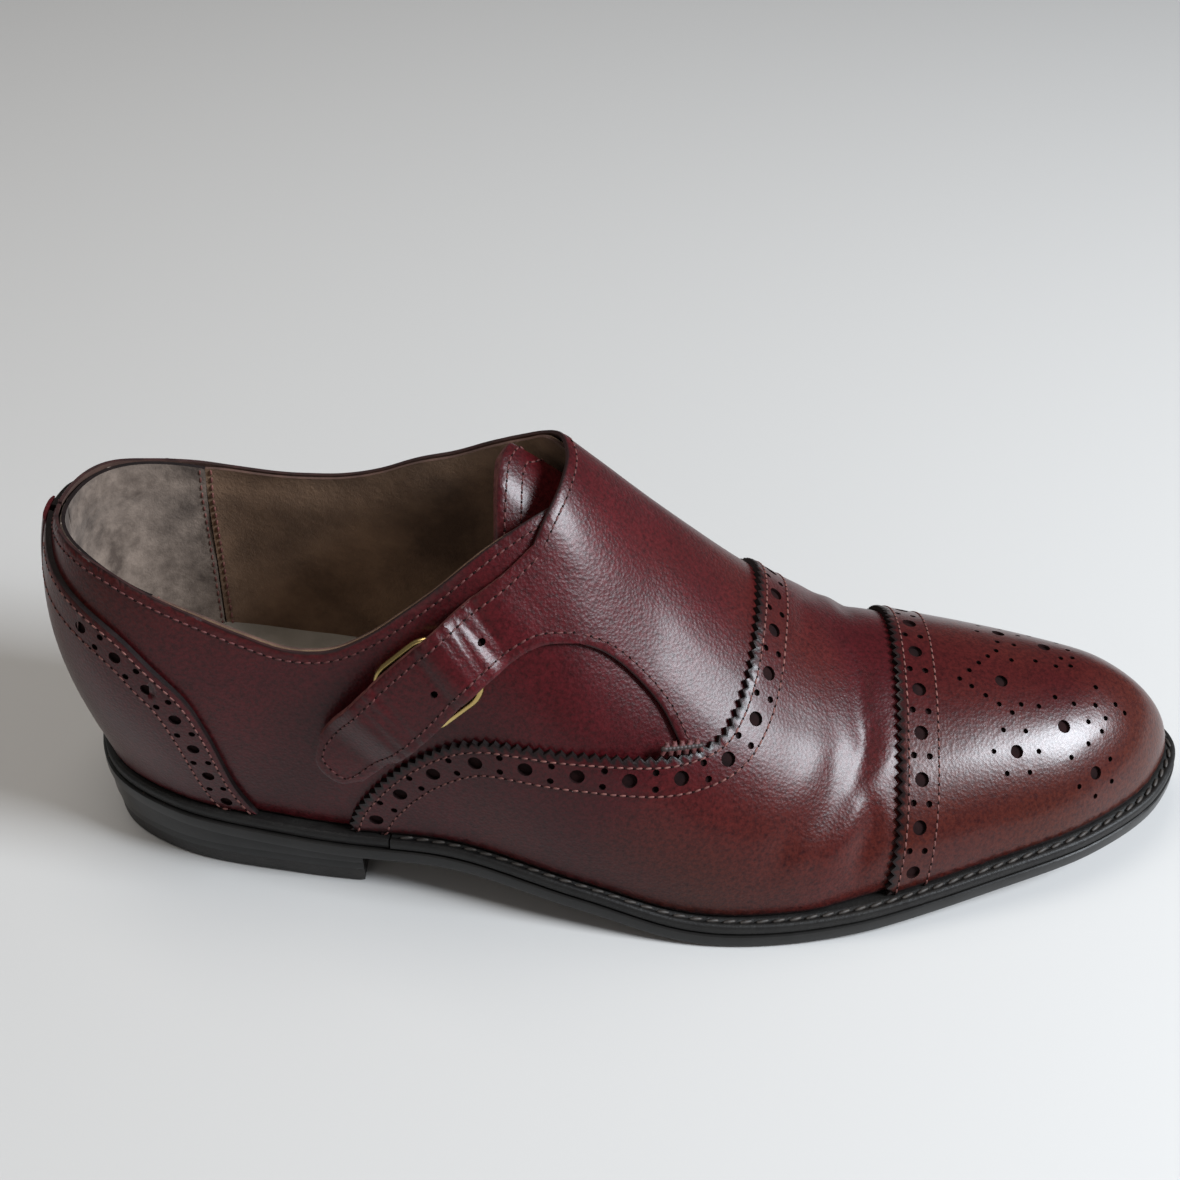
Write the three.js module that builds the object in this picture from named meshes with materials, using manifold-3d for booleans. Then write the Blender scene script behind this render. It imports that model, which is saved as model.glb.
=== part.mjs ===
// A single monk-strap shoe for the right foot, built up like a Goodyear welted shoe.
// Millimetres. X runs along the shoe with the toe at +X, -Y is the outer (lateral) side with the
// buckle, and +Z is up. The origin is the middle of the shoe's box, on the ground.
import Module from "manifold-3d";
import * as THREE from "three";
import { mergeVertices } from "three/addons/utils/BufferGeometryUtils.js";

// ---------------------------------------------------------------- driving dimensions
const SHOE_LENGTH = 294; // outsole, heel edge to toe edge
const BALL_WIDTH = 108.5; // outsole at its widest
const INSTEP_HEIGHT = 119.5; // top of the shoe above the ground, over the instep
const HEEL_HEIGHT = 15.5; // heel stack at the back, under the outsole
const TOE_SPRING = 9.4; // outsole tip above the ground
const OUTSOLE_THICKNESS = 4;
const WELT_THICKNESS = 2.9;
const WELT_LEDGE = 4.5; // welt showing outside the upper at the ball
const HEEL_LEDGE = 3.2; // the same round the heel
const HEEL_BULGE = 10.5; // how far the back of the upper swells over the feather line
const UPPER_LEATHER = 1.1; // thickness of the outer leathers
const LINING_LEATHER = 1; // thickness of the linings
const INSOLE_THICKNESS = 2.4;
const HEEL_CUSHION = 9; // extra thickness of the sock under the heel
const HEEL_CUSHION_END = [-70, -20]; // it thins out between these
const SOCK_THICKNESS = 1.2;
const TOP_PIECE_THICKNESS = 4.5; // the heel's wearing layer
const HEEL_LIFT_THICKNESS = 2.8;
const HEEL_BREAST_Q = -68; // front face of the heel
const TOE_CAP_LINE_Q = 69; // rear edge of the toe cap on the ridge
const STRAP_BUCKLE_RISE = 5.2; // how far the strap stands off the quarter over the buckle
const BUCKLE_LENGTH = 23; // frame along the strap, between wire centres
const BUCKLE_WIDTH = 20.4; // frame across the strap, between wire centres
const BUCKLE_WIRE_RADIUS = 1;
const PRONG_RADIUS = 0.7;
const BAR_CLEARANCE = 0.25; // running clearance of the chape and the prong on the buckle's bar
const GAP = 0.3; // between touching layers of the bottom
const PATTERN_LAYER_GAP = 0.6; // between touching layers of the upper, on the pattern size
const NAIL_RADIUS = 0.9;
const NAIL_COUNT = 5;

// ---------------------------------------------------------------- the last
// The plan of the outsole on the pattern size: toe, outer side, heel, inner side.
const PATTERN_LENGTH = 294;
const PATTERN_WIDTH = 108.5;
const PATTERN_INSTEP = 119.5;
const LENGTH_GRADE = SHOE_LENGTH / PATTERN_LENGTH;
const WIDTH_GRADE = BALL_WIDTH / PATTERN_WIDTH;
// A longer or slimmer last turns more sharply from facet to facet, so its layers stand further apart.
const LAYER_GAP = PATTERN_LAYER_GAP * Math.max(1, LENGTH_GRADE, LENGTH_GRADE / WIDTH_GRADE);
const SOLE_PLAN = [
  [151, 7], [143.5, -11.5], [123, -28.5], [92, -41.5], [58, -52], [24, -56], [-12.5, -50.5], [-49, -41],
  [-85, -36.5], [-117.5, -29.5], [-136, -17], [-142.5, 2], [-137.5, 20.5], [-118, 32.5], [-85, 33.5],
  [-48, 31], [-12, 36], [20, 47], [52, 52.5], [84, 47.5], [114, 38.5], [139, 25.5],
];
// Underside of the outsole above the ground: heel seat, waist, tread, toe spring.
const HEEL_SEAT_SHARE = 0.68; // the breast end of the heel seat is this share of its back end
const SOLE_PROFILE = [
  [-143, HEEL_HEIGHT], [-72, HEEL_HEIGHT * HEEL_SEAT_SHARE], [-40, HEEL_HEIGHT * HEEL_SEAT_SHARE],
  [-10, HEEL_HEIGHT * 0.39], [14, 0.9], [36, 0], [58, 0.9], [78, TOE_SPRING * 0.36],
  [110, TOE_SPRING * 0.75], [151, TOE_SPRING],
];
// The ridge along the top of the last: height, then sideways place. Behind the instep it runs on
// above the collar, so that the quarters lean in towards it.
const RIDGE_HEIGHT = [
  [-130, 150], [-100, 152.5], [-70, 148.5], [-45, 135.5], [-25, 120], [-8, 104.5], [10, 87.5],
  [30, 70], [50, 55.5], [70, 50.5], [92, 47], [118, 42.5],
];
const RIDGE_SIDEWAYS = [[-130, 1.4], [-70, 2.3], [-25, 5], [10, 8.4], [50, 8.7], [90, 7], [118, 7]];
const HEEL_POLE_X = -112; // the girth lines fan out round these two ends of the ridge
const TOE_POLE_X = 115.7;
const POLE_SOFTNESS = 24;
const WALL_POWER = 1.06; // how quickly a girth line leaves the feather line sideways
const CROWN_POWER = 1.14; // how quickly it rises
const BULGE_PROFILE = [
  [-151, HEEL_BULGE], [-125, HEEL_BULGE], [-80, 3.9], [-20, 3.9], [40, 2.6], [100, 0], [151, 0],
];
const BULGE_TOP = 0.62; // share of the girth line over which the bulge fades out

const SEAT_GAP = 0.5; // between the welt and the upper's lower edge
// The feather line's height above the outsole's underside.
const FEATHER_RISE = OUTSOLE_THICKNESS + GAP + WELT_THICKNESS + SEAT_GAP;

// A smooth curve through (x, value) pairs.
function profile(pairs, xGrade, valueGrade) {
  const xs = pairs.map((p) => p[0] * xGrade);
  const vs = pairs.map((p) => p[1] * valueGrade);
  const last = xs.length - 1;
  const slopes = xs.map((_, i) => {
    const a = Math.max(i - 1, 0);
    const b = Math.min(i + 1, last);
    return (vs[b] - vs[a]) / (xs[b] - xs[a]);
  });
  return (x) => {
    let i = 0;
    while (i < last - 1 && x > xs[i + 1]) i += 1;
    const h = xs[i + 1] - xs[i];
    const s = THREE.MathUtils.clamp((x - xs[i]) / h, 0, 1);
    const s2 = s * s;
    const s3 = s2 * s;
    return (
      vs[i] * (2 * s3 - 3 * s2 + 1) + h * slopes[i] * (s3 - 2 * s2 + s) +
      vs[i + 1] * (3 * s2 - 2 * s3) + h * slopes[i + 1] * (s3 - s2)
    );
  };
}
const heightGrade = INSTEP_HEIGHT / PATTERN_INSTEP;
const soleUnderside = profile(SOLE_PROFILE, LENGTH_GRADE, 1);
const ridgeHeight = profile(RIDGE_HEIGHT, LENGTH_GRADE, heightGrade);
const ridgeSideways = profile(RIDGE_SIDEWAYS, LENGTH_GRADE, WIDTH_GRADE);
const bulge = profile(BULGE_PROFILE, LENGTH_GRADE, 1);

function smoothMin(a, b, softness) {
  const h = THREE.MathUtils.clamp(0.5 + (0.5 * (b - a)) / softness, 0, 1);
  return b * (1 - h) + a * h - softness * h * (1 - h);
}
function ridgeStation(x) {
  const front = smoothMin(x, TOE_POLE_X * LENGTH_GRADE, POLE_SOFTNESS);
  return -smoothMin(-front, -HEEL_POLE_X * LENGTH_GRADE, POLE_SOFTNESS);
}

// The outsole's plan as a closed ring of evenly spaced points with outward normals.
const RING = 720;
const planCurve = new THREE.CatmullRomCurve3(
  SOLE_PLAN.map(([x, y]) => new THREE.Vector3(x * LENGTH_GRADE, y * WIDTH_GRADE, 0)), true, "centripetal",
);
planCurve.arcLengthDivisions = 2000;
const ring = planCurve.getSpacedPoints(RING).slice(0, RING);
const ringNormal = ring.map((_, i) => {
  const along = new THREE.Vector3().subVectors(ring[(i + 1) % RING], ring[(i + RING - 1) % RING]).normalize();
  return new THREE.Vector3(along.y, -along.x, 0).negate();
});
function ledge(x) {
  const waist = THREE.MathUtils.clamp((x / LENGTH_GRADE + 85) / 50, 0, 1);
  const fore = THREE.MathUtils.clamp((x / LENGTH_GRADE + 10) / 50, 0, 1);
  const waistLedge = 0.6 * HEEL_LEDGE + 0.4 * WELT_LEDGE;
  return HEEL_LEDGE + (waistLedge - HEEL_LEDGE) * waist + (WELT_LEDGE - waistLedge) * fore;
}
const feather = ring.map((p, i) => p.clone().addScaledVector(ringNormal[i], -ledge(p.x)));
const TOE_TIP = feather.reduce((best, p, i) => (p.x > feather[best].x ? i : best), 0);
const HEEL_BACK = feather.reduce((best, p, i) => (p.x < feather[best].x ? i : best), 0);

// A point and normal of the plan at ring position u, which counts ring points and may be fractional.
function onRing(list, u) {
  const whole = Math.floor(u);
  const a = list[((whole % RING) + RING) % RING];
  const b = list[(((whole + 1) % RING) + RING) % RING];
  return a.clone().lerp(b, u - whole);
}
// A point of the last: ring position u, climb t from the feather line (0) to the ridge (1).
function lastPoint(u, t) {
  const n = onRing(ringNormal, u).normalize();
  const foot = onRing(feather, u);
  const stationX = ridgeStation(foot.x);
  const base = soleUnderside(foot.x) + FEATHER_RISE;
  const lean = 1 - Math.max(Math.cos((Math.PI * t) / 2), 0) ** WALL_POWER;
  const rise = Math.max(Math.sin((Math.PI * t) / 2), 0) ** CROWN_POWER;
  const swell = t > 0 && t < BULGE_TOP ? bulge(foot.x) * Math.sin((Math.PI * t) / BULGE_TOP) ** 1.3 : 0;
  return new THREE.Vector3(
    foot.x * (1 - lean) + stationX * lean + n.x * swell,
    foot.y * (1 - lean) + ridgeSideways(stationX) * lean + n.y * swell,
    base + (ridgeHeight(stationX) - base) * rise,
  );
}
// Its outward normal: level at the feather line, and shared by both sides on the ridge.
const FEATHER_BLEND = 0.12;
const RIDGE_BLEND = 0.85;
function lastNormal(u, t) {
  const level = onRing(ringNormal, u).normalize();
  const stationX = ridgeStation(onRing(feather, u).x);
  const slope = (ridgeHeight(stationX + 1) - ridgeHeight(stationX - 1)) / 2;
  const ridge = new THREE.Vector3(-slope, 0, 1).normalize();
  const climb = THREE.MathUtils.clamp(t, 0.01, 0.98);
  const along = lastPoint(u + 1.5, climb).sub(lastPoint(u - 1.5, climb));
  const up = lastPoint(u, climb + 0.01).sub(lastPoint(u, climb - 0.01));
  const n = new THREE.Vector3().crossVectors(along, up).normalize();
  if (n.dot(level) + n.z < 0) n.negate();
  n.lerp(ridge, THREE.MathUtils.smoothstep(t, RIDGE_BLEND, 1));
  return n.lerp(level, 1 - THREE.MathUtils.smoothstep(t, 0, FEATHER_BLEND)).normalize();
}
// The same point at a distance r outside the upper's own surface.
const onLast = (u, t, r) =>
  (r === 0 ? lastPoint(u, t) : lastPoint(u, t).addScaledVector(lastNormal(u, t), r));
// The climb that lies a given share of the girth above the feather line.
const GIRTH_STEPS = 24;
function climbAt(u, share) {
  let length = 0;
  const lengths = [0];
  let previous = lastPoint(u, 0);
  for (let k = 1; k <= GIRTH_STEPS; k += 1) {
    const next = lastPoint(u, k / GIRTH_STEPS);
    length += next.distanceTo(previous);
    lengths.push(length);
    previous = next;
  }
  const wanted = share * length;
  let k = 0;
  while (k < GIRTH_STEPS - 1 && lengths[k + 1] < wanted) k += 1;
  return Math.min((k + (wanted - lengths[k]) / (lengths[k + 1] - lengths[k])) / GIRTH_STEPS, 1);
}
// Pattern coordinates are q, along the shoe, and g, from -1 (outer feather line) over 0 (ridge) to 1
// (inner feather line) as a share of the girth. Between the two turns q is x on the pattern size.
// Round the heel and the toe it runs on along the feather line, to the back seam and the toe tip.
const HEEL_TURN_Q = -115;
const BACK_Q = -154;
const TOE_TURN_Q = 118;
const TIP_Q = 162;
const ringSpan = (side) => (side < 0 ? HEEL_BACK - TOE_TIP : RING - HEEL_BACK + TOE_TIP);
// Steps from the toe tip along one side to a feather point of a given x.
function stepsTo(x, side) {
  const at = (n) => onRing(feather, TOE_TIP - side * n).x;
  let k = 0;
  while (k < ringSpan(side) - 1 && at(k + 1) > x) k += 1;
  return k + (at(k) - x) / (at(k) - at(k + 1));
}
const heelTurn = { "-1": stepsTo(HEEL_TURN_Q * LENGTH_GRADE, -1), 1: stepsTo(HEEL_TURN_Q * LENGTH_GRADE, 1) };
const toeTurn = { "-1": stepsTo(TOE_TURN_Q * LENGTH_GRADE, -1), 1: stepsTo(TOE_TURN_Q * LENGTH_GRADE, 1) };
// The ring position of q on one side. side is -1 outer, 1 inner.
function ringAt(q, side) {
  if (q <= HEEL_TURN_Q) {
    const share = Math.min((HEEL_TURN_Q - q) / (HEEL_TURN_Q - BACK_Q), 1);
    return TOE_TIP - side * (heelTurn[side] + (ringSpan(side) - heelTurn[side]) * share);
  }
  if (q >= TOE_TURN_Q) {
    const share = Math.min((q - TOE_TURN_Q) / (TIP_Q - TOE_TURN_Q), 1);
    return TOE_TIP - side * toeTurn[side] * (1 - share);
  }
  return TOE_TIP - side * stepsTo(q * LENGTH_GRADE, side);
}
// The q of a ring position, counted from the toe tip along the outer side and round the heel.
function patternQ(u) {
  const side = u <= HEEL_BACK ? -1 : 1;
  const steps = side < 0 ? u - TOE_TIP : RING - u + TOE_TIP;
  if (steps <= heelTurn[side]) return onRing(feather, u).x / LENGTH_GRADE;
  const pastTurn = (steps - heelTurn[side]) / (ringSpan(side) - heelTurn[side]);
  return HEEL_TURN_Q - pastTurn * (HEEL_TURN_Q - BACK_Q);
}
function onPattern([q, g], r) {
  const u = ringAt(q, g < 0 ? -1 : 1);
  return onLast(u, climbAt(u, 1 - Math.min(Math.abs(g), 1)), r);
}

// ---------------------------------------------------------------- mesh helpers
// Collects quads and triangles, joins equal points and drops faces that have collapsed.
function shell() {
  const points = [];
  const index = new Map();
  const faces = [];
  const add = (p) => {
    const key = [p.x, p.y, p.z].map((c) => Math.round(c * 500)).join();
    if (!index.has(key)) {
      index.set(key, points.length);
      points.push(p);
    }
    return index.get(key);
  };
  const triangle = (a, b, c) => {
    if (a !== b && b !== c && a !== c) faces.push(a, b, c);
  };
  return {
    quad(a, b, c, d) {
      const [i, j, k, l] = [a, b, c, d].map(add);
      if (points[i].distanceTo(points[k]) <= points[j].distanceTo(points[l])) {
        triangle(i, j, k);
        triangle(i, k, l);
      } else {
        triangle(i, j, l);
        triangle(j, k, l);
      }
    },
    geometry() {
      const g = new THREE.BufferGeometry();
      g.setAttribute("position", new THREE.Float32BufferAttribute(points.flatMap((p) => [p.x, p.y, p.z]), 3));
      g.setIndex(faces);
      if (signedVolume(points, faces) < 0) {
        for (let i = 0; i < faces.length; i += 3) [faces[i], faces[i + 1]] = [faces[i + 1], faces[i]];
        g.setIndex(faces);
      }
      return g;
    },
  };
}
function signedVolume(points, faces) {
  let sum = 0;
  for (let i = 0; i < faces.length; i += 3) {
    const [a, b, c] = [points[faces[i]], points[faces[i + 1]], points[faces[i + 2]]];
    sum += a.dot(new THREE.Vector3().crossVectors(b, c));
  }
  return sum;
}
// A closed wall between two grids of points, grid[i][j]. foldedEnd leaves out the end wall where the
// last row lies on itself.
function wall(inner, outer, { foldedEnd = false } = {}) {
  const s = shell();
  const endRow = inner.length - 1;
  const endCol = inner[0].length - 1;
  for (let i = 0; i < endRow; i += 1) {
    for (let j = 0; j < endCol; j += 1) {
      s.quad(outer[i][j], outer[i + 1][j], outer[i + 1][j + 1], outer[i][j + 1]);
      s.quad(inner[i][j], inner[i][j + 1], inner[i + 1][j + 1], inner[i + 1][j]);
    }
    s.quad(inner[i][0], inner[i + 1][0], outer[i + 1][0], outer[i][0]);
    s.quad(outer[i][endCol], outer[i + 1][endCol], inner[i + 1][endCol], inner[i][endCol]);
  }
  for (let j = 0; j < endCol; j += 1) {
    s.quad(outer[0][j], outer[0][j + 1], inner[0][j + 1], inner[0][j]);
    if (!foldedEnd) s.quad(inner[endRow][j], inner[endRow][j + 1], outer[endRow][j + 1], outer[endRow][j]);
  }
  return s.geometry();
}
// A smooth pattern line through pattern points, as a function of 0..1.
function line(points) {
  if (points.length === 2) {
    const [a, b] = points;
    return (s) => [a[0] + (b[0] - a[0]) * s, a[1] + (b[1] - a[1]) * s];
  }
  const scale = 100; // so that a share of the girth weighs like millimetres
  const curve = new THREE.CatmullRomCurve3(
    points.map(([x, g]) => new THREE.Vector3(x, g * scale, 0)), false, "centripetal",
  );
  return (s) => {
    const p = curve.getPointAt(s);
    return [p.x, p.y / scale];
  };
}
// A grid over a four-sided pattern piece, from its four edge lines. Low and high run from start to
// end, and start and end run from low to high.
function fourSided(low, high, start, end, rows, cols) {
  const corner = [low(0), low(1), high(0), high(1)];
  return Array.from({ length: rows + 1 }, (_, i) =>
    Array.from({ length: cols + 1 }, (_, j) => {
      const a = i / rows;
      const b = j / cols;
      const [l, h, s, e] = [low(a), high(a), start(b), end(b)];
      return [0, 1].map(
        (k) =>
          l[k] * (1 - b) + h[k] * b + s[k] * (1 - a) + e[k] * a -
          (corner[0][k] * (1 - a) * (1 - b) + corner[1][k] * a * (1 - b) +
            corner[2][k] * (1 - a) * b + corner[3][k] * a * b),
      );
    }),
  );
}
// A leather piece: its pattern grid laid on the last, from level(x, g) outwards by its thickness.
function leatherPiece(grid, level, thickness, options) {
  const at = (extra) => grid.map((row) => row.map((p) => onPattern(p, level(p[0], p[1]) + extra)));
  return wall(at(0), at(thickness), options);
}
const steady = (value) => () => value;
const ease = THREE.MathUtils.smoothstep;

// ---------------------------------------------------------------- levels of the layers
// Distance of each layer's inner face outside the upper's own surface.
const OVERLAY = -0.2;
const BASE = OVERLAY - LAYER_GAP - UPPER_LEATHER;
const UNDERLAY = BASE - LAYER_GAP - UPPER_LEATHER;
const STIFFENER = BASE - LAYER_GAP - UPPER_LEATHER;
const LINING = UNDERLAY - LAYER_GAP - LINING_LEATHER;

// ---------------------------------------------------------------- pattern lines
const SEAM_Q = BACK_Q + 0.4; // each quarter stops this side of the back seam
const OUTER_COLLAR = [
  [SEAM_Q, -0.49], [-136, -0.468], [-124, -0.478], [-112, -0.513], [-102, -0.545], [-92, -0.577],
  [-82, -0.6], [-72, -0.592], [-63, -0.553], [-54, -0.492], [-45, -0.42], [-32, -0.295], [-20, -0.18],
];
const INNER_COLLAR = [
  [SEAM_Q, 0.49], [-136, 0.502], [-124, 0.53], [-110, 0.548], [-98, 0.545], [-87, 0.533], [-76, 0.512],
  [-66, 0.473], [-55, 0.405], [-44, 0.335], [-34, 0.236], [-26, 0.149], [-20, 0.06], [-16.5, -0.03],
  [-18, -0.12], [-22, -0.22],
];
const VAMP_EDGE = [
  [-71, -1], [-68, -0.94], [-58.6, -0.842], [-46, -0.757], [-35.7, -0.71], [-16, -0.661], [3.4, -0.607],
  [13, -0.568], [21.5, -0.508], [25.6, -0.435], [28.8, -0.33], [31.4, -0.16], [32.6, 0], [31.8, 0.16],
  [29, 0.33], [25.6, 0.435], [20, 0.515], [8, 0.59], [-12, 0.66], [-33, 0.72], [-48, 0.79], [-58, 0.86],
  [-66, 0.94], [-69, 1],
];
// The cap's edge: share of the girth, and x from the cap line.
const CAP_EDGE = [[-1, -2.5], [-0.5, -0.6], [0, 0], [0.5, -0.6], [1, -2.5]];
const FOLD_TOP = [-24, -0.27];
const FOLD_BOTTOM = [-12.6, -0.417];
const STRAP_UPPER = [
  FOLD_TOP, [-30.8, -0.352], [-40.7, -0.445], [-50, -0.524], [-60, -0.606], [-69, -0.687], [-74.5, -0.745],
];
const STRAP_LOWER = [
  FOLD_BOTTOM, [-21.1, -0.452], [-30.8, -0.535], [-36.5, -0.59], [-45, -0.683], [-56, -0.775], [-65, -0.842],
];
const STRAP_TIP = [[-65, -0.842], [-71, -0.852], [-76, -0.81], [-74.5, -0.745]];
const APRON_FRONT = [[13, -0.545], [8, -0.475], [1, -0.432], [-6, -0.414], FOLD_BOTTOM];
const LAP = 9; // how far an under piece runs on beneath the edge that covers it

// ---------------------------------------------------------------- upper
// Even columns over -1..1 that keep one on the ridge.
const acrossShoe = (count) => Array.from({ length: count + 1 }, (_, j) => -1 + (2 * j) / count);
// Rows from a line across the shoe to the toe tip.
function toeGrid(startAt, rows, cols) {
  const station = (g, i) => startAt(g) + ((TIP_Q - startAt(g)) * i) / rows;
  return Array.from({ length: rows + 1 }, (_, i) => acrossShoe(cols).map((g) => [station(g, i), g]));
}
const capCurve = profile(CAP_EDGE, 1, 1);
const capLine = (g) => TOE_CAP_LINE_Q + capCurve(g);
const toeCap = () =>
  leatherPiece(toeGrid(capLine, 8, 16), steady(OVERLAY), UPPER_LEATHER, { foldedEnd: true });
const toePuff = () =>
  leatherPiece(toeGrid((g) => capLine(g) + LAP + 3, 6, 12), steady(BASE), UPPER_LEATHER, { foldedEnd: true });

// The vamp lies over the quarters behind the ball and dips under the toe cap in front.
const VAMP_DIP = [45, 64];
const vampLevel = (x) => OVERLAY + (BASE - OVERLAY) * ease(x, ...VAMP_DIP);
function vamp() {
  const cols = 10;
  const front = (s) => [capLine(2 * s - 1) + LAP, 2 * s - 1];
  const outer = line([VAMP_EDGE[0], front(0)]);
  const inner = line([VAMP_EDGE.at(-1), front(1)]);
  const grid = fourSided(line(VAMP_EDGE), front, outer, inner, 36, cols);
  return leatherPiece(grid, vampLevel, UPPER_LEATHER);
}
// The quarters run on beneath the vamp, and the outer one dips under the apron in front.
const APRON_DIP = [-16, 8];
const outerQuarterLevel = (x) => BASE + (UNDERLAY - BASE) * ease(x, ...APRON_DIP);
function outerQuarter() {
  const low = line([
    [SEAM_Q, -1], [-100, -1], [-62, -1], [-57, -0.93], [-46, -0.84], [-30, -0.775], [-8, -0.72],
    [12, -0.66], [24, -0.6],
  ]);
  const high = line(OUTER_COLLAR);
  const start = line([[SEAM_Q, -1], [SEAM_Q, -0.49]]);
  const end = line([[24, -0.6], [12, -0.43], [-6, -0.27], [-20, -0.18]]);
  return leatherPiece(fourSided(low, high, start, end, 24, 7), outerQuarterLevel, UPPER_LEATHER);
}
const apronLevel = (x, g) => {
  const outer = 1 - ease(g, -0.14, 0.1);
  return BASE + (OVERLAY - BASE) * outer * (1 - ease(x, ...APRON_DIP));
};
function innerQuarter() {
  const low = line([
    [SEAM_Q, 1], [-100, 1], [-60, 1], [-52, 0.9], [-38, 0.81], [-14, 0.735], [10, 0.67], [26, 0.58],
    [35, 0.45], [39, 0.3], [41.5, 0], [40, -0.25], [34, -0.42], [25, -0.53], [13, -0.6],
  ]);
  const high = line([...INNER_COLLAR, FOLD_TOP]);
  const start = line([[SEAM_Q, 1], [SEAM_Q, 0.49]]);
  const end = line([[13, -0.6], ...APRON_FRONT]);
  const fold = line([FOLD_BOTTOM, FOLD_TOP]);
  const foldFrom = 0.6; // share of the outer edge taken by the cut-out in front of the fold
  const right = (s) => (s < foldFrom ? end(s / foldFrom) : fold((s - foldFrom) / (1 - foldFrom)));
  return leatherPiece(fourSided(low, high, start, right, 32, 8), apronLevel, UPPER_LEATHER);
}

// The foxing wraps the heel on each side, up to the collar at the back seam.
const FOXING_EDGE = [
  [-95, 1], [-99, 0.94], [-103, 0.8], [-106.5, 0.72], [-112.7, 0.655], [-119, 0.6], [-130, 0.552],
  [-145, 0.512],
];
const FOXING_SEAM_Q = BACK_Q + 1;
function foxing(side) {
  const onSide = (points) => points.map(([x, g]) => [x, side * g]);
  const low = line(onSide([[FOXING_SEAM_Q, 1], FOXING_EDGE[0]]));
  const high = line(onSide([[FOXING_SEAM_Q, 0.505], FOXING_EDGE.at(-1)]));
  const start = line(onSide([[FOXING_SEAM_Q, 1], [FOXING_SEAM_Q, 0.505]]));
  const grid = fourSided(low, high, start, line(onSide(FOXING_EDGE)), 7, 7);
  return leatherPiece(grid, steady(OVERLAY), UPPER_LEATHER);
}

// A band that runs round the back of the heel from one side to the other, between two shares of the girth.
function heelBand(outerU, innerU, bottomShare, topShareAt, inner, thickness, rows, cols) {
  const us = Array.from({ length: rows + 1 }, (_, i) => outerU + ((innerU - outerU) * i) / rows);
  const at = (r) =>
    us.map((u) => {
      const top = topShareAt(u);
      return Array.from({ length: cols + 1 }, (_, j) =>
        onLast(u, climbAt(u, bottomShare + ((top - bottomShare) * j) / cols), r));
    });
  return wall(at(inner), at(inner + thickness));
}
const outerCollar = profile(OUTER_COLLAR.map(([x, g]) => [x, -g]), 1, 1);
const innerCollar = profile(INNER_COLLAR.slice(0, 13), 1, 1);
// Height of the collar at a ring position, as a share of the girth.
function collarShare(u) {
  const q = patternQ(u);
  return 1 - (u <= HEEL_BACK ? outerCollar(q) : innerCollar(q));
}
// Ring positions from the outer side round the heel to the inner side, at a pattern q.
const roundHeel = (q) => [ringAt(q, -1), ringAt(q, 1) + RING];
const RING_STEP = planCurve.getLength() / RING;
const BACKSTAY_HALF_WIDTH = 4.6;
const BACKSTAY_TOP = 0.51; // share of the girth
const BACKSTAY_THICKNESS = UPPER_LEATHER - 0.1;
const backstaySpan = BACKSTAY_HALF_WIDTH / RING_STEP;
const backstay = () =>
  heelBand(HEEL_BACK - backstaySpan, HEEL_BACK + backstaySpan, 0, () => BACKSTAY_TOP,
    OVERLAY + UPPER_LEATHER + LAYER_GAP, BACKSTAY_THICKNESS, 4, 10);
const STIFFENER_FRONT_Q = -80;
const STIFFENER_BELOW_COLLAR = 0.12;
const heelStiffener = () =>
  heelBand(...roundHeel(STIFFENER_FRONT_Q), 0, (u) => collarShare(u) - STIFFENER_BELOW_COLLAR, STIFFENER,
    UPPER_LEATHER, 18, 5);
const GRIP_FRONT_Q = -113;
const COLLAR_INSET = 0.004;
const heelGripLining = () =>
  heelBand(...roundHeel(GRIP_FRONT_Q), 0, (u) => collarShare(u) - COLLAR_INSET,
    LINING, LINING_LEATHER, 14, 7);

// Quarter linings butt against the heel grip behind and stop short of the vamp lining in front.
const LINING_BUTT_Q = GRIP_FRONT_Q + 0.6;
function outerQuarterLining() {
  const low = line([[LINING_BUTT_Q, -1], [-60, -1], [-12, -1]]);
  const behind = [LINING_BUTT_Q, -outerCollar(LINING_BUTT_Q) - COLLAR_INSET];
  const high = line([behind, ...OUTER_COLLAR.slice(4, -1), [-20, -0.19]]);
  const start = line([low(0), high(0)]);
  const end = line([[-12, -1], [-6, -0.78], [6, -0.5], [-4, -0.3], [-20, -0.19]]);
  return leatherPiece(fourSided(low, high, start, end, 15, 7), steady(LINING), LINING_LEATHER);
}
function innerQuarterLining() {
  const low = line([[LINING_BUTT_Q, 1], [-60, 1], [-12, 1]]);
  const behind = [LINING_BUTT_Q, innerCollar(LINING_BUTT_Q) + COLLAR_INSET];
  const high = line([behind, ...INNER_COLLAR.slice(4, 13), [-16, 0.02]]);
  const start = line([low(0), high(0)]);
  const end = line([[-12, 1], [-6, 0.78], [10, 0.5], [14, 0.25], [4, 0.06], [-16, 0.02]]);
  return leatherPiece(fourSided(low, high, start, end, 15, 7), steady(LINING), LINING_LEATHER);
}
const VAMP_LINING_REAR = [[-1, -6], [-0.75, 4], [-0.5, 26], [0, 42], [0.5, 26], [0.75, 4], [1, -6]];
const vampLiningRear = profile(VAMP_LINING_REAR, 1, 1);
const vampLining = () =>
  leatherPiece(toeGrid(vampLiningRear, 10, 14), steady(LINING), LINING_LEATHER, { foldedEnd: true });

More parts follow.
